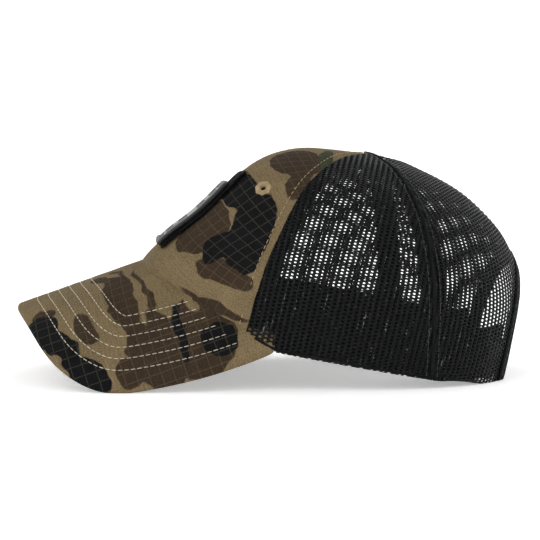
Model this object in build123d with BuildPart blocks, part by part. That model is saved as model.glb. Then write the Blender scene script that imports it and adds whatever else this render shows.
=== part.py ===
"""Trucker cap with a curved visor: two cloth front panels, four mesh panels, a loop field with a
removable patch, and a two-piece snap strap across the rear arch.

Units are mm.  +Z is up, the visor points to -Y and the wearer's left is +X.  The crown is drawn in a
level hem frame (x, y, height above the hem).  That frame is tilted nose-up in the world, because the
cap rests on the two lower edges of its visor and on the back of its hem.
"""
import os
from math import copysign, cos, pi, radians, sin, sqrt

from build123d import *

# ---- driving dimensions ------------------------------------------------------------------------
HEM_TILT = 13.1                        # nose-up angle of the hem plane
HEM_Y, HEM_Z = 20.67, 19.2             # origin of the hem frame in the world
BASE_HALF, BASE_LENGTH = 77.0, 217.5   # half width and length of the head opening
BASE_MID = 2.25                        # middle of the head opening in the hem frame
HEM_LINE_TILT = 10.9                   # the sewn hem falls a little less steeply than the hem frame
HEM_LINE_Y, HEM_LINE_Z = 22.9, 15.1    # a point of the sewn hem seen from the side, in the world
CROWN_TOP = 106.2                      # crown height above the hem plane
APEX_Y = 11.0                          # where the six panel tips meet, in the hem frame
FRONT_SEAM = 57.5                      # azimuth of the front seams, degrees from the centre front
SEAM_LEAN = 0.035                      # the front seams run forwards by this much as they go down
SIDE_SEAM = (0.300, -0.954, 0.0)       # forward normal of the left side seam, in the world

PANEL = 1.2                            # panel thickness
LAYER_GAP = 0.05                       # air between sewn layers
TAPE_OUT, TAPE_IN, TAPE_WIDTH = 1.25, 2.0, 13.0
BAND_OUT, BAND_IN = 2.1, 3.7
BAND_HEIGHT, BAND_FRONT_LIFT = 30.0, 15.0  # the front leans back, so its band rises by less
BIND_PROUD, BIND_LEG, BIND_WEB = 0.6, 6.0, 1.0

VISOR_PITCH = 19.3                     # fall of the visor ridge towards its tip, degrees
VISOR_ROOT = (0.0, -70.43, 62.0)       # where the ridge meets the crown
VISOR_R = 76.3                         # bend radius of the top face
COVER, BOARD = 0.8, 2.0                # cloth cover and stiffener thickness
SEAT_END = -22.0                       # the visor seat ends here, in the hem frame
# lower silhouette of the visor seen from the side (y, z), tip to rear corner
VISOR_EDGE = [(-136.93, 38.7), (-129.3, 32.6), (-117.3, 18.6), (-101.8, 6.2), (-86.3, 0.5),
              (-66.3, 1.5), (-39.3, 7.2), (-17.3, 14.0), (-2.0, 20.0)]

ARCH_HALF, ARCH_SHOULDER, ARCH_RISE = 38.5, 27.0, 40.0

FRONT_FACE = (0.0, -72.5, 57.0)        # centre of the loop field, in the hem frame
FRONT_SLOPE = 36.3                     # the front face leans back by this angle from vertical
LOOP_W, LOOP_H, LOOP_T = 78.0, 60.0, 1.0
PATCH_W, PATCH_H, PATCH_DROP = 74.0, 49.0, 5.4
HOOK_T, FACE_T, RIM_T, RIM_W = 1.1, 1.2, 1.5, 2.6

EYELET_AZIMUTH, EYELET_HEIGHT = 41.5, 74.0
EYELET_D, EYELET_BORE = 9.0, 2.6

STRAP_CY = 20.3                        # centre of the strap's arc, in the hem frame
STRAP_R, STRAP_STEP = 88.0, 1.6        # outer strap's mid radius, and the step in to the inner strap
ROOT_R = 88.04                         # mid radius where both straps leave the sewn ends
STRAP_T, STRAP_W, STRAP_BASE = 1.3, 17.0, 6.6
ROOT_ANGLE, EASE_ANGLE, TIP_ANGLE, PEG_PITCH = 23.6, 14.0, 10.1, 5.93
PEG_D, HOLE_D, PEG_LENGTH = 2.8, 4.8, 1.7
ANCHOR_X = (35.9, 50.0)

# crown sections: height, front, back, half width, half width of the flattened front, and how square
# the back is (2 is an ellipse)
SECTIONS = [
    (-12, -106.5, 111.0, 77.0, 0, 2.45), (0, -106.5, 111.0, 77.0, 0, 2.45),
    (16, -100.6, 110.8, 77.5, 0, 2.45), (32, -90.6, 110.3, 77.2, 36, 2.4),
    (48, -77.2, 109.6, 75.5, 40, 2.2), (60, -68.4, 106.3, 72.0, 40, 2.05),
    (72, -60.7, 99.0, 66.0, 40, 2), (82, -54.0, 90.0, 58.0, 37, 2), (90, -46.5, 78.5, 48.5, 28, 2),
    (96, -38.0, 67.5, 39.0, 18, 2), (100.5, -27.0, 55.0, 29.5, 0, 2), (103.6, -10.0, 42.0, 18.5, 0, 2),
    (105.2, 2.0, 34.5, 12.5, 0, 2), (CROWN_TOP, 7.0, 29.0, 9.0, 0, 2),
]
SECTION_POINTS, CORNER_SHARPNESS, FRONT_BULGE = 32, 24, 0.8

LEFT, RIGHT = 1, -1
SIDES = {"left": LEFT, "right": RIGHT}
HUGE = 320.0

# ---- frames ------------------------------------------------------------------------------------
tilt, pitch = radians(HEM_TILT), radians(VISOR_PITCH)
hem = Plane(origin=(0, HEM_Y, HEM_Z), x_dir=(1, 0, 0), z_dir=(0, sin(tilt), cos(tilt)))
line_tilt = radians(HEM_LINE_TILT)
hem_line = Plane(
    origin=(0, HEM_LINE_Y, HEM_LINE_Z), x_dir=(1, 0, 0), z_dir=(0, sin(line_tilt), cos(line_tilt)))
ridge = Vector(0, -cos(pitch), -sin(pitch))
ridge_up = Vector(0, -sin(pitch), cos(pitch))
visor_section = Plane(
    origin=Vector(*VISOR_ROOT) - ridge_up * VISOR_R, x_dir=(1, 0, 0), z_dir=ridge)


def hem_plane(origin, x_dir, z_dir):
    """Plane whose origin and directions are given in the hem frame."""
    zero = hem.from_local_coords(Vector(0, 0, 0))
    return Plane(
        origin=hem.from_local_coords(Vector(*origin)),
        x_dir=hem.from_local_coords(Vector(*x_dir)) - zero,
        z_dir=hem.from_local_coords(Vector(*z_dir)) - zero,
    )


apex = hem.from_local_coords(Vector(0, APEX_Y, CROWN_TOP))
lean = radians(FRONT_SLOPE)
front_face = hem_plane(FRONT_FACE, (1, 0, 0), (0, -cos(lean), sin(lean)))
patch_face = Plane(
    origin=front_face.from_local_coords(Vector(0, -PATCH_DROP, 0)),
    x_dir=front_face.x_dir,
    z_dir=front_face.z_dir,
)
arch_plane = hem_plane((0, 40, 0), (-1, 0, 0), (0, 1, 0))


def middle(side):
    """Plane of symmetry, its normal towards the given side."""
    return Plane(origin=apex, x_dir=(0, 1, 0), z_dir=(side, 0, 0))


def front_seam(side):
    """Plane of a front/mesh seam, its normal towards the mesh."""
    turn = radians(FRONT_SEAM)
    along, across = (side * sin(turn), -cos(turn), 0), (side * cos(turn), sin(turn), -SEAM_LEAN)
    return hem_plane((0, APEX_Y, CROWN_TOP), along, across)


def side_seam(side):
    """Plane of the seam between side and back mesh panels, its normal forwards."""
    return Plane(origin=apex, x_dir=(0, 0, 1), z_dir=(side * SIDE_SEAM[0], SIDE_SEAM[1], 0))


# ---- crown surface -----------------------------------------------------------------------------
def section_points(front, back, half, flat, square):
    """Closed crown section: a squarish back and an elliptical front, flattened over +-flat."""
    centre, reach = (front + back) / 2, (back - front) / 2
    points = []
    for i in range(SECTION_POINTS):
        turn = 2 * pi * i / SECTION_POINTS
        x, depth = half * sin(turn), reach * cos(turn)
        if depth < 0:
            x = copysign(half * abs(sin(turn)) ** (2 / square), x)
            depth = -reach * abs(cos(turn)) ** (2 / square)
        if flat and depth > 1:
            level = reach - FRONT_BULGE * (x / flat) ** 2
            shoulder = (reach - FRONT_BULGE) / sqrt(1 - (flat / half) ** 2) * cos(turn)
            blend = shoulder ** -CORNER_SHARPNESS + max(level, 1) ** -CORNER_SHARPNESS
            depth = blend ** (-1 / CORNER_SHARPNESS)
        points.append((x, centre - depth))
    return points


def crown_solid(inset):
    """Crown volume whose surface lies `inset` inside the outer face of the panels."""
    shrink_x, shrink_y = 1 - inset / BASE_HALF, 1 - 2 * inset / BASE_LENGTH
    shrink_h = 1 - inset / CROWN_TOP
    with BuildPart() as crown:
        for height, *outline in SECTIONS:
            points = [(shrink_x * x, BASE_MID + shrink_y * (y - BASE_MID))
                      for x, y in section_points(*outline)]
            with BuildSketch(hem.offset(height * shrink_h if height > 0 else height)):
                with BuildLine():
                    Spline(*points, periodic=True)
                make_face()
        loft()
    return crown.part


def under_hem(seat_radius, lift=0.0, seat_lift=0.0):
    """Everything under the sewn hem: its plane, the floor and the curved seat on the visor.
    The lifts raise the line to the top of the sweatband."""
    seat_section = Plane(
        origin=visor_section.origin + hem.z_dir * seat_lift,
        x_dir=visor_section.x_dir,
        z_dir=visor_section.z_dir,
    )
    with BuildPart() as seat:
        with BuildSketch(seat_section):
            Circle(seat_radius)
        extrude(amount=HUGE / 4, both=True)
        split(bisect_by=hem_plane((0, SEAT_END, 0), (1, 0, 0), (0, -1, 0)), keep=Keep.TOP)
    with BuildPart() as under:
        with BuildSketch(hem_line.offset(lift)):
            Rectangle(HUGE, HUGE)
        extrude(amount=-60)
        with BuildSketch(Plane.XY.offset(lift)):
            with Locations((0, 100)):
                Rectangle(HUGE, 140)
        extrude(amount=-60)
        add(seat.part)
    return under.part


def arch(grow):
    """Rear arch opening as a solid, grown by `grow` all round."""
    with BuildPart() as opening:
        with BuildSketch(arch_plane):
            with Locations((0, ARCH_SHOULDER - 30)):
                Rectangle(2 * (ARCH_HALF + grow), 60)
            with Locations((0, ARCH_SHOULDER)):
                Ellipse(ARCH_HALF + grow, ARCH_RISE + grow)
        extrude(amount=110)
    return opening.part


def slab(plane, thickness):
    """Plate of the given thickness, centred on a plane."""
    with BuildPart() as plate:
        with BuildSketch(plane):
            Rectangle(HUGE, HUGE)
        extrude(amount=thickness / 2, both=True)
    return plate.part


crown_outer, crown_lining = crown_solid(0), crown_solid(PANEL)
tape_outer, tape_inner = crown_solid(TAPE_OUT), crown_solid(TAPE_IN)
visor_back = crown_solid(TAPE_IN + LAYER_GAP)
panel_hem = under_hem(VISOR_R + LAYER_GAP)
arch_edge = arch(0)

with BuildPart() as cloth:
    add(crown_outer)
    add(crown_lining, mode=Mode.SUBTRACT)
    add(panel_hem, mode=Mode.SUBTRACT)


def finish(piece, name):
    """Label a finished sub-part and write it to its own file."""
    piece.part.label = name
    export_step(piece.part, f"parts/{name}.step")


os.makedirs("parts", exist_ok=True)

# ---- crown panels ------------------------------------------------------------------------------
def eyelet_plane(side):
    """Plane on the outer face of a front panel, at its eyelet."""
    turn = radians(EYELET_AZIMUTH)
    inside = hem.from_local_coords(Vector(0, APEX_Y, EYELET_HEIGHT))
    outward = hem_plane((0, 0, 0), (0, 0, 1), (side * sin(turn), -cos(turn), 0)).z_dir
    hits = [hit for face in crown_outer.faces()
            for hit in face.find_intersection_points(Axis(inside, outward))]
    spot, normal = max(hits, key=lambda hit: (hit[0] - inside).dot(outward))
    if normal.dot(outward) < 0:
        normal = normal * -1
    return Plane(origin=spot, z_dir=normal)


for hand, side in SIDES.items():
    with BuildPart() as front_panel:
        add(cloth.part)
        split(bisect_by=middle(side), keep=Keep.TOP)
        split(bisect_by=front_seam(side), keep=Keep.BOTTOM)
        with BuildSketch(eyelet_plane(side)):
            Circle(EYELET_D / 2 + LAYER_GAP)
        extrude(amount=4, both=True, mode=Mode.SUBTRACT)
    finish(front_panel, f"front_panel_{hand}")

    with BuildPart() as eyelet:
        with BuildSketch(eyelet_plane(side).offset(-PANEL)):
            Circle(EYELET_D / 2)
            Circle(EYELET_BORE / 2, mode=Mode.SUBTRACT)
        extrude(amount=PANEL + 0.6)
        fillet(eyelet.faces().sort_by(Axis(apex, eyelet_plane(side).z_dir))[-1].edges(), 0.5)
    finish(eyelet, f"eyelet_{hand}")

    with BuildPart() as side_panel:
        add(cloth.part)
        split(bisect_by=middle(side), keep=Keep.TOP)
        split(bisect_by=front_seam(side), keep=Keep.TOP)
        split(bisect_by=side_seam(side), keep=Keep.TOP)
    finish(side_panel, f"mesh_side_panel_{hand}")

    with BuildPart() as back_panel:
        add(cloth.part)
        split(bisect_by=middle(side), keep=Keep.TOP)
        split(bisect_by=side_seam(side), keep=Keep.BOTTOM)
        add(arch_edge, mode=Mode.SUBTRACT)
    finish(back_panel, f"mesh_back_panel_{hand}")

with BuildPart() as apex_tack:
    with BuildSketch(hem.offset(CROWN_TOP + LAYER_GAP)):
        with Locations((0, APEX_Y)):
            Circle(3.2)
    extrude(amount=0.9)
    fillet(apex_tack.faces().sort_by(Axis.Z)[-1].edges(), 0.6)
finish(apex_tack, "crown_apex_tack")

# ---- seam tapes inside the crown ---------------------------------------------------------------
with BuildPart() as lining:
    add(tape_outer)
    add(tape_inner, mode=Mode.SUBTRACT)
    add(panel_hem, mode=Mode.SUBTRACT)
    add(arch(BIND_LEG + LAYER_GAP), mode=Mode.SUBTRACT)

with BuildPart() as centre_tape:
    add(lining.part)
    add(slab(middle(LEFT), TAPE_WIDTH), mode=Mode.INTERSECT)
finish(centre_tape, "seam_tape_center")

for hand, side in SIDES.items():
    with BuildPart() as front_tape:
        add(lining.part)
        add(slab(front_seam(side), TAPE_WIDTH), mode=Mode.INTERSECT)
        split(bisect_by=middle(side).offset(TAPE_WIDTH / 2 + LAYER_GAP), keep=Keep.TOP)
    finish(front_tape, f"seam_tape_front_{hand}")

    with BuildPart() as side_tape:
        add(lining.part)
        add(slab(side_seam(side), TAPE_WIDTH), mode=Mode.INTERSECT)
        split(bisect_by=middle(side).offset(TAPE_WIDTH / 2 + LAYER_GAP), keep=Keep.TOP)
        split(bisect_by=front_seam(side).offset(TAPE_WIDTH / 2 + LAYER_GAP), keep=Keep.TOP)
    finish(side_tape, f"seam_tape_side_{hand}")

# ---- sweatband ---------------------------------------------------------------------------------
BAND_SEAT = VISOR_R - 2 * COVER - BOARD - 3 * LAYER_GAP
band_hem = under_hem(BAND_SEAT)
band_top = under_hem(BAND_SEAT, BAND_HEIGHT, BAND_FRONT_LIFT)

with BuildPart() as sweatband:
    add(crown_solid(BAND_OUT))
    add(crown_solid(BAND_IN), mode=Mode.SUBTRACT)
    add(band_hem, mode=Mode.SUBTRACT)
    add(band_top, mode=Mode.INTERSECT)
    with BuildSketch(arch_plane):
        Rectangle(2 * (ANCHOR_X[1] + 0.2), HUGE)
    extrude(amount=110, mode=Mode.SUBTRACT)
finish(sweatband, "sweatband")

# ---- binding round the rear arch ---------------------------------------------------------------
with BuildPart() as mesh_zone:
    add(crown_solid(-LAYER_GAP))
    add(tape_outer, mode=Mode.SUBTRACT)
    add(arch_edge, mode=Mode.SUBTRACT)

with BuildPart() as binding:
    add(crown_solid(-BIND_PROUD))
    add(tape_inner, mode=Mode.SUBTRACT)
    add(arch(BIND_LEG), mode=Mode.INTERSECT)
    add(arch(-BIND_WEB), mode=Mode.SUBTRACT)
    add(mesh_zone.part, mode=Mode.SUBTRACT)
    add(panel_hem, mode=Mode.SUBTRACT)
finish(binding, "rear_arch_binding")


# ---- visor -------------------------------------------------------------------------------------
def inset_edge(inset):
    """Side silhouette of the visor, moved inwards by `inset`."""
    points = [Vector(*point) for point in VISOR_EDGE]
    moved = []
    for i, point in enumerate(points):
        run = points[min(i + 1, len(points) - 1)] - points[max(i - 1, 0)]
        moved.append(point + Vector(-run.Y, run.X).normalized() * inset)
    return moved


def visor_ply(top, bottom, inset):
    """One curved layer of the visor, between two bend radii, cut back by `inset` at its edge."""
    with BuildPart() as ply:
        with BuildSketch(visor_section):
            Circle(top)
            Circle(bottom, mode=Mode.SUBTRACT)
            with Locations((0, -HUGE / 2)):
                Rectangle(HUGE, HUGE, mode=Mode.SUBTRACT)
        extrude(amount=HUGE / 4, both=True)
        with BuildSketch(Plane.YZ):
            with BuildLine():
                edge = Spline(*inset_edge(inset))
                start, end = edge @ 0, edge @ 1
                Polyline(end, (end.X, 120), (start.X, 120), start)
            make_face()
        extrude(amount=HUGE / 2, both=True, mode=Mode.INTERSECT)
        add(visor_back, mode=Mode.SUBTRACT)
    return ply.part


cover_in = VISOR_R - COVER
board_out, board_in = cover_in - LAYER_GAP, cover_in - LAYER_GAP - BOARD
lower_out = board_in - LAYER_GAP
lower_in = lower_out - COVER

with BuildPart() as top_cover:
    add(visor_ply(VISOR_R, lower_in, 0))
    add(visor_ply(cover_in, lower_in - 1, COVER), mode=Mode.SUBTRACT)
finish(top_cover, "visor_top_cover")

with BuildPart() as board:
    add(visor_ply(board_out, board_in, COVER + LAYER_GAP))
finish(board, "visor_board")

with BuildPart() as bottom_cover:
    add(visor_ply(lower_out, lower_in, COVER + LAYER_GAP))
finish(bottom_cover, "visor_bottom_cover")

# ---- loop field and removable patch ------------------------------------------------------------
LOOP_BACK = -2 * LAYER_GAP
LOOP_FRONT = LOOP_BACK - LOOP_T
HOOK_BACK = LOOP_FRONT - 0.3
HOOK_FRONT = HOOK_BACK - HOOK_T
FACE_BACK = HOOK_FRONT - LAYER_GAP


def front_layer(plane, width, height, radius, back, front):
    """Rounded rectangle laid on the front face, between two insets of the crown surface."""
    with BuildPart() as layer:
        with BuildSketch(plane):
            RectangleRounded(width, height, radius)
        extrude(amount=20, both=True)
        add(crown_solid(front), mode=Mode.INTERSECT)
        add(crown_solid(back), mode=Mode.SUBTRACT)
    return layer.part


with BuildPart() as loop_field:
    add(front_layer(front_face, LOOP_W, LOOP_H, 5, LOOP_BACK, LOOP_FRONT))
finish(loop_field, "loop_field")

with BuildPart() as hook_backing:
    add(front_layer(patch_face, PATCH_W, PATCH_H, 4, HOOK_BACK, HOOK_FRONT))
finish(hook_backing, "patch_hook_backing")

with BuildPart() as field:
    add(front_layer(patch_face, PATCH_W - 2 * RIM_W, PATCH_H - 2 * RIM_W, 2.5,
                    FACE_BACK, FACE_BACK - FACE_T))
finish(field, "patch_face")

with BuildPart() as rim:
    add(front_layer(patch_face, PATCH_W, PATCH_H, 4, FACE_BACK, FACE_BACK - RIM_T))
    with BuildSketch(patch_face):
        RectangleRounded(PATCH_W - 2 * RIM_W + 0.1, PATCH_H - 2 * RIM_W + 0.1, 2.5)
    extrude(amount=20, both=True, mode=Mode.SUBTRACT)
finish(rim, "patch_border")


# ---- snap strap --------------------------------------------------------------------------------
def strap_radius(angle, mid):
    """Mid radius of a strap: constant, then eased to the sewn end beyond EASE_ANGLE."""
    ease = min(max((abs(angle) - EASE_ANGLE) / (ROOT_ANGLE - EASE_ANGLE), 0), 1)
    return mid + (ROOT_R - mid) * ease * ease * (3 - 2 * ease)


def strap_band(side, mid):
    """Strap from its root to its tip, with a rounded tip."""
    angles = [side * (ROOT_ANGLE - (ROOT_ANGLE + TIP_ANGLE) * i / 14) for i in range(15)]

    def curve(shift):
        radii = [strap_radius(angle, mid) + shift for angle in angles]
        return [(r * sin(radians(a)), STRAP_CY + r * cos(radians(a)))
                for r, a in zip(radii, angles)]

    outer_line, inner_line = curve(STRAP_T / 2), curve(-STRAP_T / 2)
    with BuildPart() as band:
        with BuildSketch(hem.offset(STRAP_BASE)):
            with BuildLine():
                Spline(*outer_line)
                Line(outer_line[-1], inner_line[-1])
                Spline(*inner_line[::-1])
                Line(inner_line[0], outer_line[0])
            make_face()
        extrude(amount=STRAP_W)
        short = band.edges().filter_by(lambda edge: edge.length < STRAP_T + 0.2)
        tip = short.sort_by(Axis.X)[:2] if side == LEFT else short.sort_by(Axis.X)[-2:]
        fillet(tip, 5)
    return band.part


def radial_plane(angle, radius):
    """Plane across a strap's thickness, facing out, half way up the strap."""
    turn = radians(angle)
    spot = (radius * sin(turn), STRAP_CY + radius * cos(turn), STRAP_BASE + STRAP_W / 2)
    return hem_plane(spot, (cos(turn), -sin(turn), 0), (sin(turn), cos(turn), 0))


with BuildPart() as hole_strap:
    add(strap_band(LEFT, STRAP_R))
    for step in range(-1, 4):
        with BuildSketch(radial_plane(step * PEG_PITCH, STRAP_R)):
            Circle(HOLE_D / 2)
        extrude(amount=3, both=True, mode=Mode.SUBTRACT)
finish(hole_strap, "snap_strap_holes")

with BuildPart() as peg_strap:
    add(strap_band(RIGHT, STRAP_R - STRAP_STEP))
    for step in range(-3, 2):
        turn = step * PEG_PITCH
        with BuildSketch(radial_plane(turn, strap_radius(turn, STRAP_R - STRAP_STEP))):
            Circle(PEG_D / 2)
        extrude(amount=STRAP_T / 2 + PEG_LENGTH)
finish(peg_strap, "snap_strap_pegs")

for hand, side in SIDES.items():
    with BuildPart() as anchor:
        with BuildSketch(hem.offset(STRAP_BASE)):
            with Locations((side * sum(ANCHOR_X) / 2, 90)):
                Rectangle(ANCHOR_X[1] - ANCHOR_X[0], 50)
        extrude(amount=STRAP_W)
        add(crown_solid(BAND_OUT), mode=Mode.INTERSECT)
        add(crown_solid(BAND_OUT + STRAP_T), mode=Mode.SUBTRACT)
    finish(anchor, f"strap_anchor_{hand}")
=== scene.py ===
"""Looks of a camouflage trucker cap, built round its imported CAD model.

Shapes are worked out in millimetres and turned into metres when a mesh is made.  The crown pieces are
laid on a smooth map of the CAD crown, seen from a point inside it; the visor pieces are laid out in
the visor's flat pattern (u across, v forwards) and rolled onto its cylinder.
"""

from math import cos, pi, radians, sin

import bmesh
import bpy
import numpy as np
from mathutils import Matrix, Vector, noise
from mathutils.bvhtree import BVHTree


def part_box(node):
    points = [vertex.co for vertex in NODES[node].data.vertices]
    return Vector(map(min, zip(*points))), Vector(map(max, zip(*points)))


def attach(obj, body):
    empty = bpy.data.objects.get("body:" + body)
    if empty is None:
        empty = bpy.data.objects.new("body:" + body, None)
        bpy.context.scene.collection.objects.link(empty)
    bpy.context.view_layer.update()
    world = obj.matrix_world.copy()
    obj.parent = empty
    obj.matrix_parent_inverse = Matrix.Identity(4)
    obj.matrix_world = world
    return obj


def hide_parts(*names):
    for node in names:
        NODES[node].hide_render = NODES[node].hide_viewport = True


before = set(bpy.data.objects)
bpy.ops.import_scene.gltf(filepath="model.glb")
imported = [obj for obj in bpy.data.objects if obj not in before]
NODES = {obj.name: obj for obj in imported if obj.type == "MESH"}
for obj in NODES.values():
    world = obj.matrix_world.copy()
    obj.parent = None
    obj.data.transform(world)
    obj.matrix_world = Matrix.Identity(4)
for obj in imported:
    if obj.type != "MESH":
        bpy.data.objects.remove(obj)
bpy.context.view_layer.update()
MM = 0.001
EDGE_MARGIN = 0.004                        # radians above a found edge, clear of the cut below it
SHEEN, SHINE = 0.02, 0.04                  # faint sheen and specular level of the matte cloths
HEM_ROLL_SPAN = (62.0, 139.0)              # azimuths between which the mesh hem shows its roll

# ---- the cap's own dimensions, in mm, as in the CAD ----------------------------------------------
HEM_TILT, HEM_ORIGIN = radians(13.1), np.array((0.0, 20.67, 19.2))
HEM_LINE_TILT, HEM_LINE_POINT = radians(10.9), np.array((0.0, 22.9, 15.1))
CROWN_TOP, APEX_Y = 106.2, 11.0
FRONT_SEAM, SEAM_LEAN = radians(57.5), 0.035
SIDE_SEAM = (0.300, -0.954)
ARCH_HALF, ARCH_SHOULDER, ARCH_RISE = 38.5, 27.0, 40.0
VISOR_R, VISOR_PITCH = 76.3, radians(19.3)
VISOR_ROOT = np.array((0.0, -70.43, 62.0))
VISOR_THICK, SEAT_END = 3.75, -22.0
BAND_HEIGHT, BAND_FRONT_LIFT = 30.0, 15.0
PATCH_W, PATCH_H, RIM_W = 74.0, 49.0, 2.6
LOOP_W, LOOP_H = 78.0, 60.0
FRONT_FACE, FRONT_SLOPE, PATCH_DROP = (0.0, -72.5, 57.0), radians(36.3), 5.4
LEFT, RIGHT = 1, -1
SIDES = {"left": LEFT, "right": RIGHT}

HEM_X = np.array((1.0, 0.0, 0.0))
HEM_FWD = np.array((0.0, cos(HEM_TILT), -sin(HEM_TILT)))
HEM_UP = np.array((0.0, sin(HEM_TILT), cos(HEM_TILT)))
HEM_AXES = np.array((HEM_X, HEM_FWD, HEM_UP))
HEM_LINE_UP = np.array((0.0, sin(HEM_LINE_TILT), cos(HEM_LINE_TILT)))
RIDGE = np.array((0.0, -cos(VISOR_PITCH), -sin(VISOR_PITCH)))
RIDGE_UP = np.array((0.0, -sin(VISOR_PITCH), cos(VISOR_PITCH)))
VISOR_AXIS = VISOR_ROOT - RIDGE_UP * VISOR_R


def to_hem(points):
    """World points in the level frame of the hem: across, back, height above the hem."""
    return (np.asarray(points) - HEM_ORIGIN) @ HEM_AXES.T


def from_hem(points):
    return np.asarray(points) @ HEM_AXES + HEM_ORIGIN


def unit(vectors):
    vectors = np.asarray(vectors, float)
    return vectors / np.maximum(np.linalg.norm(vectors, axis=-1, keepdims=True), 1e-12)


APEX = from_hem((0, APEX_Y, CROWN_TOP))


# ---- a smooth map of the crown -------------------------------------------------------------------
def cad_tree(*names):
    """Ray-casting tree of CAD nodes, in mm."""
    points, faces = [], []
    for name in names:
        mesh = NODES[name].data
        base = len(points)
        points += [v.co / MM for v in mesh.vertices]
        faces += [[base + i for i in face.vertices] for face in mesh.polygons]
    return BVHTree.FromPolygons(points, faces)


EYE = from_hem((0.0, 5.0, 30.0))
STEP = radians(0.75)
AZIMUTHS = np.arange(-pi, pi - STEP / 2, STEP)
ELEVATIONS = np.arange(radians(-48), radians(99), STEP)


def aim(azimuth, elevation):
    """World directions from the eye; azimuth 0 is the front and +90 degrees the wearer's left."""
    level = np.stack(
        (np.sin(azimuth) * np.cos(elevation), -np.cos(azimuth) * np.cos(elevation), np.sin(elevation)),
        axis=-1,
    )
    return level @ HEM_AXES


def smoothed(values, sigma):
    """Gaussian blur of the map: it wraps round in azimuth and is held at its ends in elevation."""
    reach = int(3 * sigma)
    weights = np.exp(-0.5 * (np.arange(-reach, reach + 1) / sigma) ** 2)
    weights /= weights.sum()
    for axis, mode in ((0, "wrap"), (1, "edge")):
        pad = [(reach, reach) if a == axis else (0, 0) for a in (0, 1)]
        padded = np.pad(values, pad, mode=mode)
        values = sum(
            w * np.take(padded, range(k, k + values.shape[axis]), axis=axis)
            for k, w in enumerate(weights)
        )
    return values


def measure_crown():
    """Distance from the eye to the outer face of the panels, over azimuth and elevation."""
    panels = [n for n in NODES if n.startswith(("front_panel", "mesh_side", "mesh_back"))]
    tree = cad_tree(*panels)
    far, near = 300.0, 12.0
    table = np.full((len(AZIMUTHS), len(ELEVATIONS)), np.nan)
    for i, azimuth in enumerate(AZIMUTHS):
        for j, ray in enumerate(aim(azimuth, ELEVATIONS)):
            hit = tree.ray_cast(Vector(EYE + ray * far), Vector(-ray), far - near)
            if hit[0] is not None:
                table[i, j] = far - hit[3]
    # the rear arch: an even curve through the panels on both sides of it
    rear = np.abs(np.abs(AZIMUTHS) - pi) < radians(62)
    turn = np.where(AZIMUTHS > 0, AZIMUTHS - pi, AZIMUTHS + pi)
    for j in range(len(ELEVATIONS)):
        known = rear & ~np.isnan(table[:, j])
        if known.sum() > 20 and np.isnan(table[rear, j]).any():
            curve = np.polyfit(turn[known] ** 2, table[known, j], 3)
            gap = rear & np.isnan(table[:, j])
            table[gap, j] = np.polyval(curve, turn[gap] ** 2)
    # small holes by interpolation; below the hem straight on, which runs inwards near the rear corners
    for i in range(len(AZIMUTHS)):
        row = table[i]
        known = np.flatnonzero(~np.isnan(row))
        low = known[0]
        row[low:] = np.interp(np.arange(low, len(row)), known, row[known])
        level = row * np.cos(ELEVATIONS)
        height = row * np.sin(ELEVATIONS)
        run = low + 5
        slope = (level[run] - level[low]) / (height[run] - height[low])
        for j in range(low - 1, -1, -1):
            reach = level[low] - slope * height[low]
            lean = np.cos(ELEVATIONS[j]) - slope * np.sin(ELEVATIONS[j])
            row[j] = reach / lean
    return smoothed(table, 1.6)


CROWN = measure_crown()


def crown_reach(rays):
    """Distance from the eye to the crown's outer face along unit rays."""
    level = rays @ HEM_AXES.T
    azimuth = np.arctan2(level[..., 0], -level[..., 1])
    elevation = np.arcsin(np.clip(level[..., 2], -1, 1))
    i = (azimuth - AZIMUTHS[0]) / STEP
    j = np.clip((elevation - ELEVATIONS[0]) / STEP, 0, len(ELEVATIONS) - 1.001)
    i0, j0 = np.floor(i).astype(int), np.floor(j).astype(int)
    fi, fj = i - i0, j - j0
    count = len(AZIMUTHS)
    low = CROWN[i0 % count, j0] * (1 - fi) + CROWN[(i0 + 1) % count, j0] * fi
    high = CROWN[i0 % count, j0 + 1] * (1 - fi) + CROWN[(i0 + 1) % count, j0 + 1] * fi
    return low * (1 - fj) + high * fj


def on_crown(rays, lift=0.0):
    """Points on the crown along rays from the eye, raised by `lift`, with the outward normals."""
    rays = unit(rays)
    side = unit(np.cross(rays, unit((0.31, 0.17, 0.94))))
    up = np.cross(side, rays)
    nudge = 0.012

    def spot(aimed):
        aimed = unit(aimed)
        return EYE + aimed * crown_reach(aimed)[..., None]

    across = spot(rays + side * nudge) - spot(rays - side * nudge)
    along = spot(rays + up * nudge) - spot(rays - up * nudge)
    normals = unit(np.cross(across, along))
    facing = np.sign((normals * rays).sum(axis=-1, keepdims=True))
    normals = normals * facing
    lift = np.asarray(lift, float)
    if lift.ndim:
        lift = lift[..., None]
    return spot(rays) + normals * lift, normals


def crown_depth(points):
    """How far points lie outside the crown's outer face; inside is negative."""
    offset = np.asarray(points) - EYE
    distance = np.linalg.norm(offset, axis=-1)
    return distance - crown_reach(unit(offset))


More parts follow.
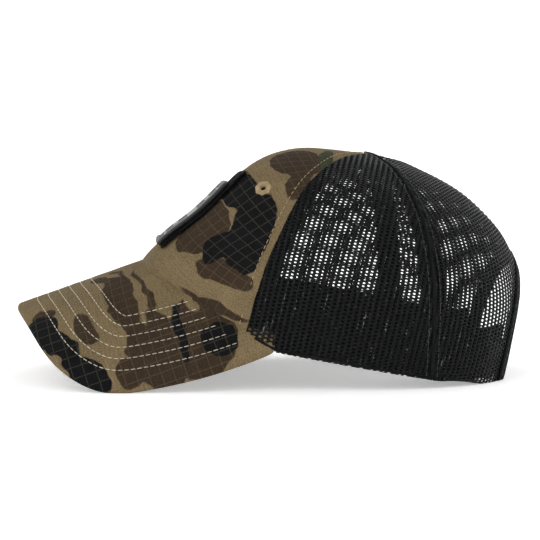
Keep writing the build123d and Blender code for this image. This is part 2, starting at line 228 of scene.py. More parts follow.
class Gore:
    """Cloth coordinates of one crown panel: v runs up its middle line and u across, in mm of cloth."""

    def __init__(self, azimuth):
        self.across = aim(azimuth + pi / 2, 0.0)
        out = aim(azimuth, 0.0)
        self.lean = np.radians(np.linspace(-46, 128, 240))
        self.turn = np.radians(np.linspace(-84, 84, 200))
        middle = np.outer(np.cos(self.lean), out) + np.outer(np.sin(self.lean), HEM_UP)
        self.middle = middle
        rays = (np.cos(self.turn)[None, :, None] * middle[:, None, :]
                + np.sin(self.turn)[None, :, None] * self.across)
        grid, _ = on_crown(rays)
        up = np.linalg.norm(np.diff(grid[:, 100], axis=0), axis=1)
        heights = np.concatenate(([0], np.cumsum(up)))
        level = np.argmin(np.abs(self.lean))
        self.heights = heights - heights[level]
        steps = np.linalg.norm(np.diff(grid, axis=1), axis=2)
        widths = np.concatenate((np.zeros((len(grid), 1)), np.cumsum(steps, axis=1)), axis=1)
        self.widths = widths - widths[:, 99:101].mean(axis=1, keepdims=True)

    def rays(self, u, v):
        """Rays from the eye to cloth points (u, v)."""
        u, v = np.broadcast_arrays(np.asarray(u, float), np.asarray(v, float))
        row = np.interp(v, self.heights, np.arange(len(self.heights)))
        below = np.clip(np.floor(row).astype(int), 0, len(self.heights) - 2)
        part = row - below
        turns = np.empty(u.shape)
        for k in np.unique(below):
            here = below == k
            first = np.interp(u[here], self.widths[k], self.turn)
            second = np.interp(u[here], self.widths[k + 1], self.turn)
            turns[here] = first * (1 - part[here]) + second * part[here]
        middle = self.middle[below] * (1 - part[..., None]) + self.middle[below + 1] * part[..., None]
        return np.cos(turns)[..., None] * unit(middle) + np.sin(turns)[..., None] * self.across


# ---- boundaries of the panels: positive on the side that is kept ----------------------------------
def past_middle(points, side, gap=0.0):
    return side * points[:, 0] - gap


def past_front_seam(points, side):
    """Distance behind the seam between front panel and mesh."""
    local = to_hem(points)
    lean = SEAM_LEAN * (local[:, 2] - CROWN_TOP)
    return side * cos(FRONT_SEAM) * local[:, 0] + sin(FRONT_SEAM) * (local[:, 1] - APEX_Y) - lean


def before_side_seam(points, side):
    """Distance in front of the seam between side and back mesh."""
    return side * SIDE_SEAM[0] * points[:, 0] + SIDE_SEAM[1] * (points[:, 1] - APEX[1])


def outside_arch(points, grow=0.0):
    local = to_hem(points)
    half = ARCH_HALF + grow
    rise = np.maximum(local[:, 2] - ARCH_SHOULDER, 0) / (ARCH_RISE + grow)
    outside = (np.sqrt((local[:, 0] / half) ** 2 + rise ** 2) - 1) * half
    return np.where(local[:, 1] > 40, outside, 99.0)


def off_axis(points):
    """Distance from the axis that the visor is bent round."""
    offset = np.asarray(points) - VISOR_AXIS
    return np.linalg.norm(offset - np.outer(offset @ RIDGE, RIDGE), axis=1)


def above_hem(points, seat_radius=VISOR_R + 0.05, lift=0.0, seat_lift=0.0):
    """Distance above the hem line, the floor and the curved seat on the visor."""
    local = to_hem(points)
    lowered = np.asarray(points) - HEM_UP * seat_lift
    seat = np.maximum(off_axis(lowered) - seat_radius, local[:, 1] - SEAT_END)
    floor = np.where(points[:, 1] > 30, points[:, 2] - lift, 99.0)
    height = (np.asarray(points) - HEM_LINE_POINT) @ HEM_LINE_UP
    return np.minimum(np.minimum(height - lift, floor), seat)


# ---- mesh helpers --------------------------------------------------------------------------------
def mesh_object(name, points, faces, uv=None, smooth=True):
    """Object from points in mm; uv gives each point its cloth coordinates in mm."""
    mesh = bpy.data.meshes.new(name)
    mesh.from_pydata((np.asarray(points) * MM).tolist(), [], [list(map(int, f)) for f in faces])
    if uv is not None:
        layer = mesh.uv_layers.new(name="cloth")
        corners = np.empty(len(mesh.loops), np.int32)
        mesh.loops.foreach_get("vertex_index", corners)
        layer.data.foreach_set("uv", np.asarray(uv, np.float32)[corners].ravel())
    mesh.polygons.foreach_set("use_smooth", [smooth] * len(mesh.polygons))
    mesh.update()
    obj = bpy.data.objects.new(name, mesh)
    bpy.context.scene.collection.objects.link(obj)
    return obj


def grid_faces(rows, columns, closed=False):
    """Quads of a grid of points stored row by row; closed joins the last row to the first."""
    faces = []
    for r in range(rows if closed else rows - 1):
        here, above = r * columns, (r + 1) % rows * columns
        for c in range(columns - 1):
            faces.append((here + c, here + c + 1, above + c + 1, above + c))
    return faces


def clipped(points, faces, uv, *fields):
    """Mesh data cut along the zero line of each field, keeping where it is positive."""
    for field in fields:
        value = field(points)
        value = np.where(np.abs(value) < 1e-6, 1e-6, value)
        points, uv = list(points), list(uv)
        made, kept = {}, []

        def crossing(a, b):
            key = (a, b) if a < b else (b, a)
            if key not in made:
                t = value[a] / (value[a] - value[b])
                made[key] = len(points)
                points.append(points[a] + (points[b] - points[a]) * t)
                uv.append(uv[a] + (uv[b] - uv[a]) * t)
            return made[key]

        for face in faces:
            inside = [value[i] > 0 for i in face]
            if all(inside):
                kept.append(face)
            elif any(inside):
                shape = []
                for k, a in enumerate(face):
                    b = face[(k + 1) % len(face)]
                    if value[a] > 0:
                        shape.append(a)
                    if (value[a] > 0) != (value[b] > 0):
                        shape.append(crossing(a, b))
                if len(shape) > 2:
                    kept.append(tuple(shape))
        used = sorted({i for face in kept for i in face})
        place = {old: new for new, old in enumerate(used)}
        points = np.array([points[i] for i in used])
        uv = np.array([uv[i] for i in used])
        faces = [tuple(place[i] for i in face) for face in kept]
    return points, faces, uv


def thicken(obj, thickness, offset=-1.0):
    """Gives a sheet a real thickness, inwards by default, and applies it."""
    modifier = obj.modifiers.new("thickness", "SOLIDIFY")
    modifier.thickness = thickness * MM
    modifier.offset = offset
    modifier.use_even_offset = False
    apply_modifiers(obj)
    return obj


def circle(turn, first, second):
    """Points of a unit circle through two directions, one for each angle."""
    return np.cos(turn)[:, None] * first + np.sin(turn)[:, None] * second


def apply_modifiers(obj):
    evaluated = obj.evaluated_get(bpy.context.evaluated_depsgraph_get())
    mesh = bpy.data.meshes.new_from_object(evaluated)
    obj.modifiers.clear()
    obj.data = mesh


def faced_out(faces, points, normals):
    """The faces, all turned so that they look along the normals."""
    first = np.array([f[:3] for f in faces])
    a, b, c = (points[first[:, k]] for k in range(3))
    looks = (np.cross(b - a, c - a) * normals[first[:, 0]]).sum(axis=1)
    if np.median(looks) < 0:
        return [tuple(reversed(f)) for f in faces]
    return faces


def wrinkle(points, size, seed):
    """Soft noise between -1 and 1 at places in mm."""
    shift = Vector((seed * 17.3, seed * 5.1, seed * 9.7))
    return np.array([noise.noise(Vector(p) / size + shift) for p in points])


def finish_piece(obj, material, body, slot, *replaced):
    obj.data.materials.clear()
    obj.data.materials.append(material)
    if replaced:
        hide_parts(*replaced)
    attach(obj, body)
    return obj


def tube(path, normals, width, height, sides=8, closed=False, ridge=None):
    """Points and faces of a rope along a path; its section is an ellipse standing on the normals."""
    path, normals = np.asarray(path, float), unit(normals)
    if closed:
        run = np.roll(path, -1, axis=0) - np.roll(path, 1, axis=0)
    else:
        run = np.gradient(path, axis=0)
    across = unit(np.cross(run, normals))
    turn = np.linspace(0, 2 * pi, sides, endpoint=False)
    grow = np.ones(len(path)) if ridge is None else ridge
    points = (path[:, None, :]
              + (np.cos(turn) * width / 2)[None, :, None] * across[:, None, :] * grow[:, None, None]
              + (np.sin(turn) * height / 2)[None, :, None] * normals[:, None, :] * grow[:, None, None])
    count, faces = len(path), []
    for r in range(count if closed else count - 1):
        here, above = r * sides, (r + 1) % count * sides
        for c in range(sides):
            d = (c + 1) % sides
            faces.append((here + c, above + c, above + d, here + d))
    if not closed:
        faces.append(tuple(range(sides)))
        faces.append(tuple(range(count * sides - 1, (count - 1) * sides - 1, -1)))
    return points.reshape(-1, 3), faces


def tube_object(name, path, normals, width, height, **options):
    points, faces = tube(path, normals, width, height, **options)
    along = np.repeat(path_lengths(path), len(points) // len(path))
    around = np.tile(np.arange(len(points) // len(path)), len(path))
    return mesh_object(name, points, faces, np.stack((around, along), axis=1))


def path_lengths(path):
    steps = np.linalg.norm(np.diff(np.asarray(path, float), axis=0), axis=1)
    return np.concatenate(([0], np.cumsum(steps)))


def resampled(path, spacing, *others):
    """The path, and arrays that go along it, at even steps."""
    along = path_lengths(path)
    count = max(int(round(along[-1] / spacing)), 2)
    at = np.linspace(0, along[-1], count + 1)
    made = [np.stack([np.interp(at, along, column) for column in np.asarray(array).T], axis=1)
            for array in (path, *others)]
    return made if others else made[0]


def stitch_rows(name, rows, length, gap, thick):
    """Separate sewn stitches along each row of (path, normals), merged into one mesh."""
    rings, sides = 5, 6
    lean = np.linspace(0, pi, rings + 2)[1:-1]
    turn = np.linspace(0, 2 * pi, sides, endpoint=False)
    points, faces = [], []
    for path, normals in rows:
        along = path_lengths(path)
        for start in np.arange(gap / 2, along[-1] - length, length + gap):
            ends = [np.array([np.interp(start + t, along, column) for column in np.asarray(path).T])
                    for t in (0, length)]
            up = unit([np.interp(start + length / 2, along, column) for column in normals.T])
            middle, half = (ends[0] + ends[1]) / 2, (ends[1] - ends[0]) / 2
            ahead = unit(half)
            across = np.cross(ahead, up)
            base = len(points)
            points.append(ends[0] - up * thick * 0.5)
            for a in lean:
                swell = thick / 2 * sin(a) ** 0.5
                centre = middle - half * cos(a) + up * thick * (0.5 * sin(a) - 0.35)
                points += [centre + swell * (cos(t) * across + sin(t) * up) for t in turn]
            points.append(ends[1] - up * thick * 0.5)
            last = len(points) - 1
            for c in range(sides):
                d = (c + 1) % sides
                faces.append((base, base + 1 + d, base + 1 + c))
                faces.append((last, last - sides + c, last - sides + d))
                for r in range(rings - 1):
                    here = base + 1 + r * sides
                    faces.append((here + c, here + d, here + sides + d, here + sides + c))
    uv = [(p[0], p[1] + p[2]) for p in points]
    return mesh_object(name, points, faces, uv)


# ---- materials -----------------------------------------------------------------------------------
def srgb(red, green, blue):
    """Linear colour from display values between 0 and 255."""
    return tuple(((v / 255 + 0.055) / 1.055) ** 2.4 for v in (red, green, blue)) + (1.0,)


TAN, BROWN, BLACK, GREEN = srgb(112, 97, 71), srgb(56, 45, 34), srgb(19, 20, 21), srgb(52, 58, 40)
PALE_THREAD = srgb(186, 176, 152)


class Shade:
    """A Principled material, with short names for the nodes that feed it."""

    def __init__(self, name, roughness, **sockets):
        self.material = bpy.data.materials.new(name)
        self.material.use_nodes = True
        self.nodes = self.material.node_tree.nodes
        self.links = self.material.node_tree.links
        self.shader = self.nodes["Principled BSDF"]
        self.shader.inputs["Roughness"].default_value = roughness
        for socket, value in sockets.items():
            self.shader.inputs[socket.replace("_", " ")].default_value = value

    def feed(self, socket, value):
        if isinstance(value, bpy.types.NodeSocket):
            self.links.new(value, socket)
        else:
            socket.default_value = value

    def node(self, kind, values=(), out=0, **settings):
        node = self.nodes.new("ShaderNode" + kind)
        for key, value in settings.items():
            setattr(node, key, value)
        for key, value in dict(values).items():
            self.feed(node.inputs[key], value)
        return node.outputs[out]

    def math(self, operation, *values):
        return self.node("Math", dict(enumerate(values)), operation=operation)

    def split(self, vector):
        """The x, y and z of a vector."""
        node = self.nodes.new("ShaderNodeSeparateXYZ")
        self.feed(node.inputs[0], vector)
        return list(node.outputs)

    def cloth(self):
        """Cloth coordinates in mm."""
        return self.node("UVMap", uv_map="cloth")

    def solid(self):
        """Place on the piece in mm."""
        place = self.node("TexCoord", out=3)
        return self.node("VectorMath", {0: place, "Scale": 1 / MM}, operation="SCALE")

    def noise(self, vector, size, detail=2.0, stretch=(1, 1, 1), out=0):
        scaled = self.node("Mapping", {"Vector": vector, "Scale": [s / size for s in stretch]})
        return self.node("TexNoise", {"Vector": scaled, "Scale": 1.0, "Detail": detail}, out=out)

    def ramp(self, value, low, high, to_low=0.0, to_high=1.0):
        return self.node("MapRange", {0: value, 1: low, 2: high, 3: to_low, 4: to_high},
                         interpolation_type="SMOOTHSTEP")

    def mix(self, share, first, second):
        return self.node("Mix", {0: share, 6: first, 7: second}, out=2, data_type="RGBA")

    def tinted(self, colour, strength):
        """Colour multiplied by a grey value."""
        colour = colour if isinstance(colour, bpy.types.NodeSocket) else colour[:3]
        return self.node("VectorMath", {0: colour, "Scale": strength}, operation="SCALE")

    def finish(self, colour, height=None, depth=0.1, strength=0.6):
        self.feed(self.shader.inputs["Base Color"], colour)
        if height is not None:
            bump = self.node("Bump", {"Height": height, "Distance": depth * MM, "Strength": strength})
            self.feed(self.shader.inputs["Normal"], bump)
        return self.material


def weave(shade, place, pitch):
    """Height of a plain weave, 0 to 1."""
    parts = shade.split(place)
    turn = 2 * pi / pitch
    warp = shade.math("SINE", shade.math("MULTIPLY", parts[0], turn))
    weft = shade.math("SINE", shade.math("MULTIPLY", parts[1], turn))
    return shade.math("MULTIPLY_ADD", shade.math("MULTIPLY", warp, weft), 0.5, 0.5)


def ripstop(shade, place, pitch, width):
    """Height of the raised grid threads of a ripstop cloth, 0 to 1."""
    parts = shade.split(place)
    lines = []
    for axis in (0, 1):
        away = shade.math("PINGPONG", parts[axis], pitch / 2)
        lines.append(shade.ramp(away, width / 2, width, 1.0, 0.0))
    return shade.math("MAXIMUM", *lines)


def patches(shade, place, blobs):
    """Field of a camouflage colour: positive inside its rounded shapes, in about mm."""
    field = None
    for u, v, half_u, half_v, turn in blobs:
        local = shade.node("Mapping", {"Vector": place, "Location": (u, v, 0),
                                       "Rotation": (0, 0, radians(turn)), "Scale": (half_u, half_v, 1)},
                           vector_type="TEXTURE")
        size = shade.node("VectorMath", {0: local}, out=1, operation="LENGTH")
        inside = shade.math("MULTIPLY", shade.math("SUBTRACT", 1.0, size), min(half_u, half_v))
        field = inside if field is None else shade.math("SMOOTH_MAX", field, inside, 2.0)
    return field


def scattered(shade, place, size, seed, cover):
    """Field of irregular patches with no set places, in about mm; a larger cover gives more of them."""
    moved = shade.node("VectorMath", {0: place, 1: (seed * 61.7, seed * 23.1, 0)}, operation="ADD")
    grain = shade.noise(moved, size, 1.5, stretch=(1.25, 0.8, 1))
    return shade.math("MULTIPLY", shade.math("SUBTRACT", grain, 0.5 - cover), size * 2.2)


def camo(name, layout, set_share, turn, seed):
    """Ripstop cloth in a woodland print.  set_share(u) says how far the set layout is used."""
    shade = Shade(name, 0.93, Sheen_Weight=SHEEN, Sheen_Roughness=0.5, Specular_IOR_Level=SHINE)
    place = shade.cloth()
    drift = shade.noise(place, 15.0, 2.0, out=1)
    centred = shade.node("VectorMath", {0: drift, 1: (0.5, 0.5, 0.5)}, operation="SUBTRACT")
    warped = shade.node("VectorMath", {0: centred, 1: (11.0, 11.0, 0.0), 2: place}, operation="MULTIPLY_ADD")
    parts = shade.split(place)
    share = set_share(shade, parts[0])
    masks = {}
    covers = {"brown": (34.0, 0.02), "black": (30.0, -0.07), "green": (26.0, -0.16), "tan": (20.0, -0.2)}
    for k, (tint, (size, cover)) in enumerate(covers.items()):
        field = scattered(shade, place, size, seed + k, cover)
        if layout.get(tint):
            placed = patches(shade, warped, layout[tint])
            field = shade.math("ADD", shade.math("MULTIPLY", placed, share),
                               shade.math("MULTIPLY", field, shade.math("SUBTRACT", 1.0, share)))
        else:
            field = shade.math("SUBTRACT", field, shade.math("MULTIPLY", share, 30.0))
        masks[tint] = shade.ramp(field, -0.35, 0.35)
    colour = shade.mix(masks["brown"], TAN, BROWN)
    colour = shade.mix(masks["black"], colour, BLACK)
    colour = shade.mix(masks["green"], colour, GREEN)
    colour = shade.mix(masks["tan"], colour, TAN)
    grid_place = shade.node("Mapping", {"Vector": place, "Rotation": (0, 0, radians(turn))})
    grid = ripstop(shade, grid_place, 6.0, 0.36)
    threads = weave(shade, grid_place, 0.62)
    speckle = shade.noise(grid_place, 0.75, 2.0)
    slub = shade.noise(grid_place, 2.4, 3.0, stretch=(0.35, 2.2, 1))
    fade = shade.noise(place, 26.0, 2.0)
    tone = shade.math("ADD", shade.ramp(speckle, 0.3, 0.7, 0.74, 1.24), shade.ramp(slub, 0.3, 0.7, -0.1, 0.1))
    tone = shade.math("ADD", tone, shade.ramp(fade, 0.3, 0.7, -0.08, 0.08))
    colour = shade.tinted(colour, tone)
    broken = shade.math("MULTIPLY", grid, shade.ramp(speckle, 0.32, 0.56, 0.1, 0.5))
    lighter = shade.mix(0.13, colour, PALE_THREAD)
    colour = shade.mix(broken, colour, lighter)
    height = shade.math("ADD", shade.math("MULTIPLY", threads, 0.5), shade.math("MULTIPLY", grid, 0.9))
    height = shade.math("ADD", height, shade.math("MULTIPLY", speckle, 0.9))
    return shade.finish(colour, height, 0.16, 0.7)


def black_cloth(name, tint, pitch, roughness=0.85, fuzz=0.5, depth=0.12):
    """Woven or napped black cloth; fuzz is how much of its surface is loose fibre."""
    shade = Shade(name, roughness, Sheen_Weight=SHEEN, Sheen_Roughness=0.4, Specular_IOR_Level=SHINE)
    place = shade.solid()
    slanted = shade.node("Mapping", {"Vector": place, "Rotation": (0.6, 0.5, 0.7)})
    threads = weave(shade, slanted, pitch)
    fibre = shade.noise(place, pitch * 0.8, 3.0)
    wear = shade.noise(place, 9.0, 3.0)
    tone = shade.math("ADD", shade.ramp(fibre, 0.25, 0.75, 1 - fuzz, 1 + fuzz),
                      shade.ramp(wear, 0.3, 0.7, -0.2, 0.2))
    height = shade.math("ADD", shade.math("MULTIPLY", threads, 1 - fuzz * 0.5),
                        shade.math("MULTIPLY", fibre, fuzz * 2))
    return shade.finish(shade.tinted(tint, tone), height, depth, 0.8)


def thread(name, tint, twist=0.55, roughness=0.6):
    """Sewing thread: fine slanted twist, and tone that drifts along the seam."""
    shade = Shade(name, roughness, Sheen_Weight=0.2)
    place = shade.solid()
    ply = weave(shade, shade.node("Mapping", {"Vector": place, "Rotation": (0.3, 0.8, 0.5)}), twist)
    drift = shade.noise(place, 3.0, 2.0)
    tone = shade.math("ADD", shade.ramp(drift, 0.3, 0.7, 0.7, 1.1), shade.math("MULTIPLY", ply, 0.2))
    return shade.finish(shade.tinted(tint, tone), ply, 0.08, 0.6)


def knit(name):
    """Shiny black mesh yarn: painted glints along its ribs, mixed as light grey into the base colour, and
    fine filaments.
    """
    shade = Shade(name, 0.42, Specular_IOR_Level=0.1)
    place = shade.cloth()
    filament = shade.noise(place, 0.35, 2.0, stretch=(1.6, 0.7, 1))
    # painted highlight: streaks of glint along the ribs, put into the base colour as light grey
    glint_streak = shade.noise(place, 2.6, 1.0, stretch=(2.4, 0.16, 1))
    glint_dash = shade.noise(place, 1.3, 1.0, stretch=(1.0, 1.3, 1))
    painted_glint = shade.math("MULTIPLY", shade.ramp(glint_streak, 0.62, 0.74), shade.ramp(glint_dash, 0.5, 0.66))
    tone = shade.ramp(filament, 0.3, 0.7, 0.6, 1.5)
    # the light grey here is the colour of the painted glints
    colour = shade.mix(painted_glint, shade.tinted(srgb(15, 16, 17), tone), srgb(112, 114, 116))
    rough = shade.ramp(filament, 0.3, 0.7, 0.34, 0.55)
    shade.feed(shade.shader.inputs["Roughness"], rough)
    return shade.finish(colour, filament, 0.1, 0.5)


def plastic(name, tint, roughness=0.34):
    """Moulded plastic with a fine satin texture, flow marks and rougher rubbed patches."""
    shade = Shade(name, roughness)
    place = shade.solid()
    texture = shade.noise(place, 0.5, 2.0)
    flow = shade.noise(place, 11.0, 3.0)
    scuff = shade.ramp(shade.noise(place, 2.0, 4.0, stretch=(0.3, 1, 2)), 0.55, 0.75)
    colour = shade.tinted(tint, shade.ramp(flow, 0.3, 0.7, 0.85, 1.2))
    rough = shade.math("ADD", shade.ramp(flow, 0.3, 0.7, roughness - 0.05, roughness + 0.06),
                       shade.math("MULTIPLY", scuff, 0.14))
    shade.feed(shade.shader.inputs["Roughness"], rough)
    return shade.finish(colour, texture, 0.03, 0.4)


FRONT_LAYOUT = {                           # u, v, half width, half height, turn of each shape
    "brown": [(3, 20, 15, 17, 0), (31, -3, 18, 7, -10), (14, 82, 18, 13, -25), (31, 70, 6, 12, 22),
              (28, -21.5, 22, 2.6, -15)],
    "black": [(8, 46, 25, 9, -8), (29, 27, 11, 25, 10), (-20, 52, 26, 13, -15), (20, 11, 7, 11, 0),
              (38, 12, 6, 12, 15)],
    "green": [(18, 97, 15, 4, -42)],
    "tan": [],
}
VISOR_LAYOUT = {
    "brown": [(40, 14, 29, 8, -3), (85, 4, 25, 15, 0), (84, -19, 24, 17, 10), (91, 21, 8, 7, 0),
              (57, 36, 11, 5, 0), (36, 56, 5, 7, 0), (18, 22, 9, 4, -40), (44, 1.5, 22, 2, -8)],
    "black": [(49, 57, 13, 8, -8), (67, 49, 15, 7, -25), (85, 42, 14, 8, -28), (80, -10, 17, 3, 5),
              (90, -27, 9, 8, 0)],
    "tan": [(49, 5.5, 19, 2.4, -3), (46, -4, 21, 4, -12), (75, 53, 8, 3, -20), (63, -18, 11, 2.4, -35),
            (17, 15, 6, 1.8, -40)],
}
camo_left = camo("camo_front_left", FRONT_LAYOUT, lambda shade, u: 1.0, 22, 1)
camo_right = camo("camo_front_right", {}, lambda shade, u: 0.0, -22, 4)
camo_visor = camo("camo_visor", VISOR_LAYOUT, lambda shade, u: shade.ramp(u, -14, 8), 0, 7)
camo_under = camo("camo_visor_under", {}, lambda shade, u: 0.0, 0, 11)
tan_thread = thread("tan_thread", srgb(150, 128, 92))
pale_thread = thread("pale_thread", srgb(196, 188, 166))
black_thread = thread("black_thread", srgb(24, 25, 27))
twill = black_cloth("black_twill", srgb(23, 23, 24), 0.8)
tape_cloth = black_cloth("seam_tape", srgb(20, 21, 22), 0.6, fuzz=0.35)
pile = black_cloth("loop_pile", srgb(19, 19, 21), 0.9, 0.95, fuzz=0.9, depth=0.4)
hook = black_cloth("hook_tape", srgb(22, 22, 24), 1.3, 0.6, fuzz=0.3, depth=0.5)
tack_cloth = black_cloth("tack_cloth", srgb(22, 22, 23), 0.7)
board_plastic = plastic("visor_board_plastic", srgb(196, 194, 186), 0.6)
strap_plastic = plastic("strap_plastic", srgb(25, 25, 26))
yarn = knit("mesh_yarn")

# ---- cloth front panels --------------------------------------------------------------------------
FRONT_AZIMUTH = radians(28.75)
FRONT_CLOTH, EYELET_HOLE = 0.9, 1.6        # the cloth's thickness, and the radius of the hole in it
eyelet_spots = {}
for hand, side in SIDES.items():
    low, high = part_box(f"eyelet_{hand}")
    aimed = unit(np.array((low + high) / 2) / MM - EYE)
    eyelet_spots[hand] = [part[0] for part in on_crown(aimed[None])] + [aimed]


def cloth_lift(points, side, uv, seed):
    """Relief of a front panel: seams drawn in, rows of stitching, puckers and slack."""
    seam = -past_front_seam(points, side)
    centre = np.abs(points[:, 0])
    join = above_hem(points)
    slack = 0.45 * wrinkle(points, 27.0, seed) + 0.18 * wrinkle(points, 10.0, seed + 3)
    pucker = wrinkle(np.stack((points[:, 1] * 0.25, points[:, 2], seam * 0.1), axis=1), 5.0, seed + 5)
    lift = slack * np.clip(join / 14, 0.1, 1) * np.clip(seam / 8, 0.2, 1)
    lift += 0.28 * pucker * np.exp(-(seam / 7.0) ** 2)
    lift += 0.32 * wrinkle(points * (1.0, 1.0, 0.3), 6.5, seed + 7) * np.exp(-(join / 9.0) ** 2)
    lift -= 0.5 * np.exp(-(seam / 0.9) ** 2) + 0.3 * np.exp(-((seam - 4.0) / 0.7) ** 2)
    lift -= 0.5 * np.exp(-(centre / 0.8) ** 2) + 0.25 * np.exp(-((centre - 3.4) / 0.7) ** 2)
    lift += 0.7 * np.exp(-((join - 6.0) / 4.5) ** 2) - 0.6 * np.exp(-(join / 1.6) ** 2)
    return lift + 0.1


def front_panel(hand, side, material, seed):
    gore = Gore(side * FRONT_AZIMUTH)
    step = 1.25
    us, vs = np.arange(-72, 72.1, step), np.arange(-62, 132, step)
    u, v = (a.ravel() for a in np.meshgrid(us, vs))
    uv = np.stack((u, v), axis=1)
    rays = gore.rays(u, v)
    flat, _ = on_crown(rays)
    near = ((past_middle(flat, side) > -3) & (past_front_seam(flat, side) < 3)
            & (above_hem(flat) > -3))
    lift = np.zeros(len(flat))
    lift[near] = cloth_lift(flat[near], side, uv[near], seed)
    points, normals = on_crown(rays, lift)
    faces = [f for f in grid_faces(len(vs), len(us)) if near[list(f)].all()]
    faces = faced_out(faces, points, normals)
    centre = eyelet_spots[hand][0]
    points, faces, uv = clipped(
        points, faces, uv,
        lambda p: past_middle(p, side, 0.05),
        lambda p: -past_front_seam(p, side),
        above_hem,
        lambda p: np.linalg.norm(p - centre, axis=1) - EYELET_HOLE,
    )
    obj = mesh_object(f"front_cloth_{hand}", points, faces, uv)
    thicken(obj, FRONT_CLOTH)
    return finish_piece(obj, material, "crown", "camo_cloth", f"front_panel_{hand}")


front_cloth = {
    "left": front_panel("left", LEFT, camo_left, 1),
    "right": front_panel("right", RIGHT, camo_right, 2),
}


# ---- seams of the crown --------------------------------------------------------------------------
CORE = from_hem((0.0, APEX_Y, 20.0))
NEAREST_CROWN = 66.0                       # every part of the crown is further from EYE than this


def meets_crown(points):
    """False where the map, carried on below the rear hem, has run in towards the eye."""
    return np.linalg.norm(points - EYE, axis=1) > NEAREST_CROWN


def seam_line(field, normal, out, offset, low=-60.0, high=90.0, spacing=1.0):
    """Path down the crown where a seam's field equals `offset`, with its normals, trimmed at the hem."""
    lean = np.radians(np.arange(high, low, -0.6))
    guess = CORE + 95 * (np.cos(lean)[:, None] * out + np.sin(lean)[:, None] * HEM_UP)
    for _ in range(8):
        points, normals = on_crown(guess - EYE)
        guess = points - (field(points) - offset)[:, None] * normal
    points, normals = on_crown(guess - EYE)
    keep = (above_hem(points) > 0.6) & (outside_arch(points) > 1.0) & meets_crown(points)
    end = len(keep) if keep.all() else int(np.argmin(keep))
    return resampled(points[:end], spacing, normals[:end])


def axis_line(azimuth):
    """Outward and sideways directions of a plane through the apex, upright on the hem."""
    out = aim(azimuth, 0.0)
    return out, np.cross(out, HEM_UP)


seams = {}
for hand, side in SIDES.items():
    out, across = axis_line(side * FRONT_SEAM)
    behind = across * np.sign(across @ HEM_FWD)
    for offset in (0.0, -4.0):
        seams[f"front_{hand}_{offset:g}"] = seam_line(
            lambda p: past_front_seam(p, side), behind, out, offset)
    ahead = np.array((side * SIDE_SEAM[0], SIDE_SEAM[1], 0.0))
    out = np.array((side * -SIDE_SEAM[1], SIDE_SEAM[0], 0.0))
    for offset in (-3.0, 0.0, 3.0):
        seams[f"side_{hand}_{offset:g}"] = seam_line(
            lambda p: before_side_seam(p, side), ahead, out, offset)
    for offset in (0.0, 3.2):
        for end, azimuth in (("fore", 0.0), ("back", pi)):
            seams[f"{end}_{hand}_{offset:g}"] = seam_line(
                lambda p: past_middle(p, side), HEM_X * side, aim(azimuth, 0.0), offset)

for name, seam in (("left", "side_left_0"), ("right", "side_right_0"), ("back", "back_left_0")):
    path, normals = seams[seam]
    ridge = tube_object(f"mesh_seam_{name}", path - normals * 0.1, normals, 2.0, 0.9)
    finish_piece(ridge, twill, "crown", "black_cloth")

# length, gap and thickness of the stitches
TOPSTITCH, MESH_STITCH = (2.3, 1.0, 0.42), (2.4, 0.8, 0.5)
ARCH_STITCH, VISOR_STITCH = (2.4, 0.9, 0.5), (2.5, 0.75, 0.42)
cloth_rows = [(path + normals * 0.05, normals) for path, normals in (
    seams["front_left_-4"], seams["front_right_-4"], seams["fore_left_3.2"], seams["fore_right_3.2"])]
finish_piece(stitch_rows("front_topstitch", cloth_rows, *TOPSTITCH), tan_thread, "crown", "tan_thread")
mesh_rows = [seams[f"{name}_{hand}_{offset}"] for hand in SIDES
             for name, offset in (("side", "3"), ("side", "-3"), ("back", "3.2"))]
finish_piece(stitch_rows("mesh_topstitch", mesh_rows, *MESH_STITCH), black_thread, "crown", "black_cloth")


# ---- knitted mesh panels -------------------------------------------------------------------------
COLUMN, COURSE = 2.95, 1.95                # spacing of the holes across and along their columns
HOLE_U, HOLE_V, YARN = 0.86, 0.575, 0.5    # half sizes of a hole, and the knit's thickness
SINK, CREST = -0.45, 0.16                  # how far the knit lies in, and how far its ribs stand up
SIDE_AZIMUTH, BACK_AZIMUTH = radians(82.5), radians(143.75)


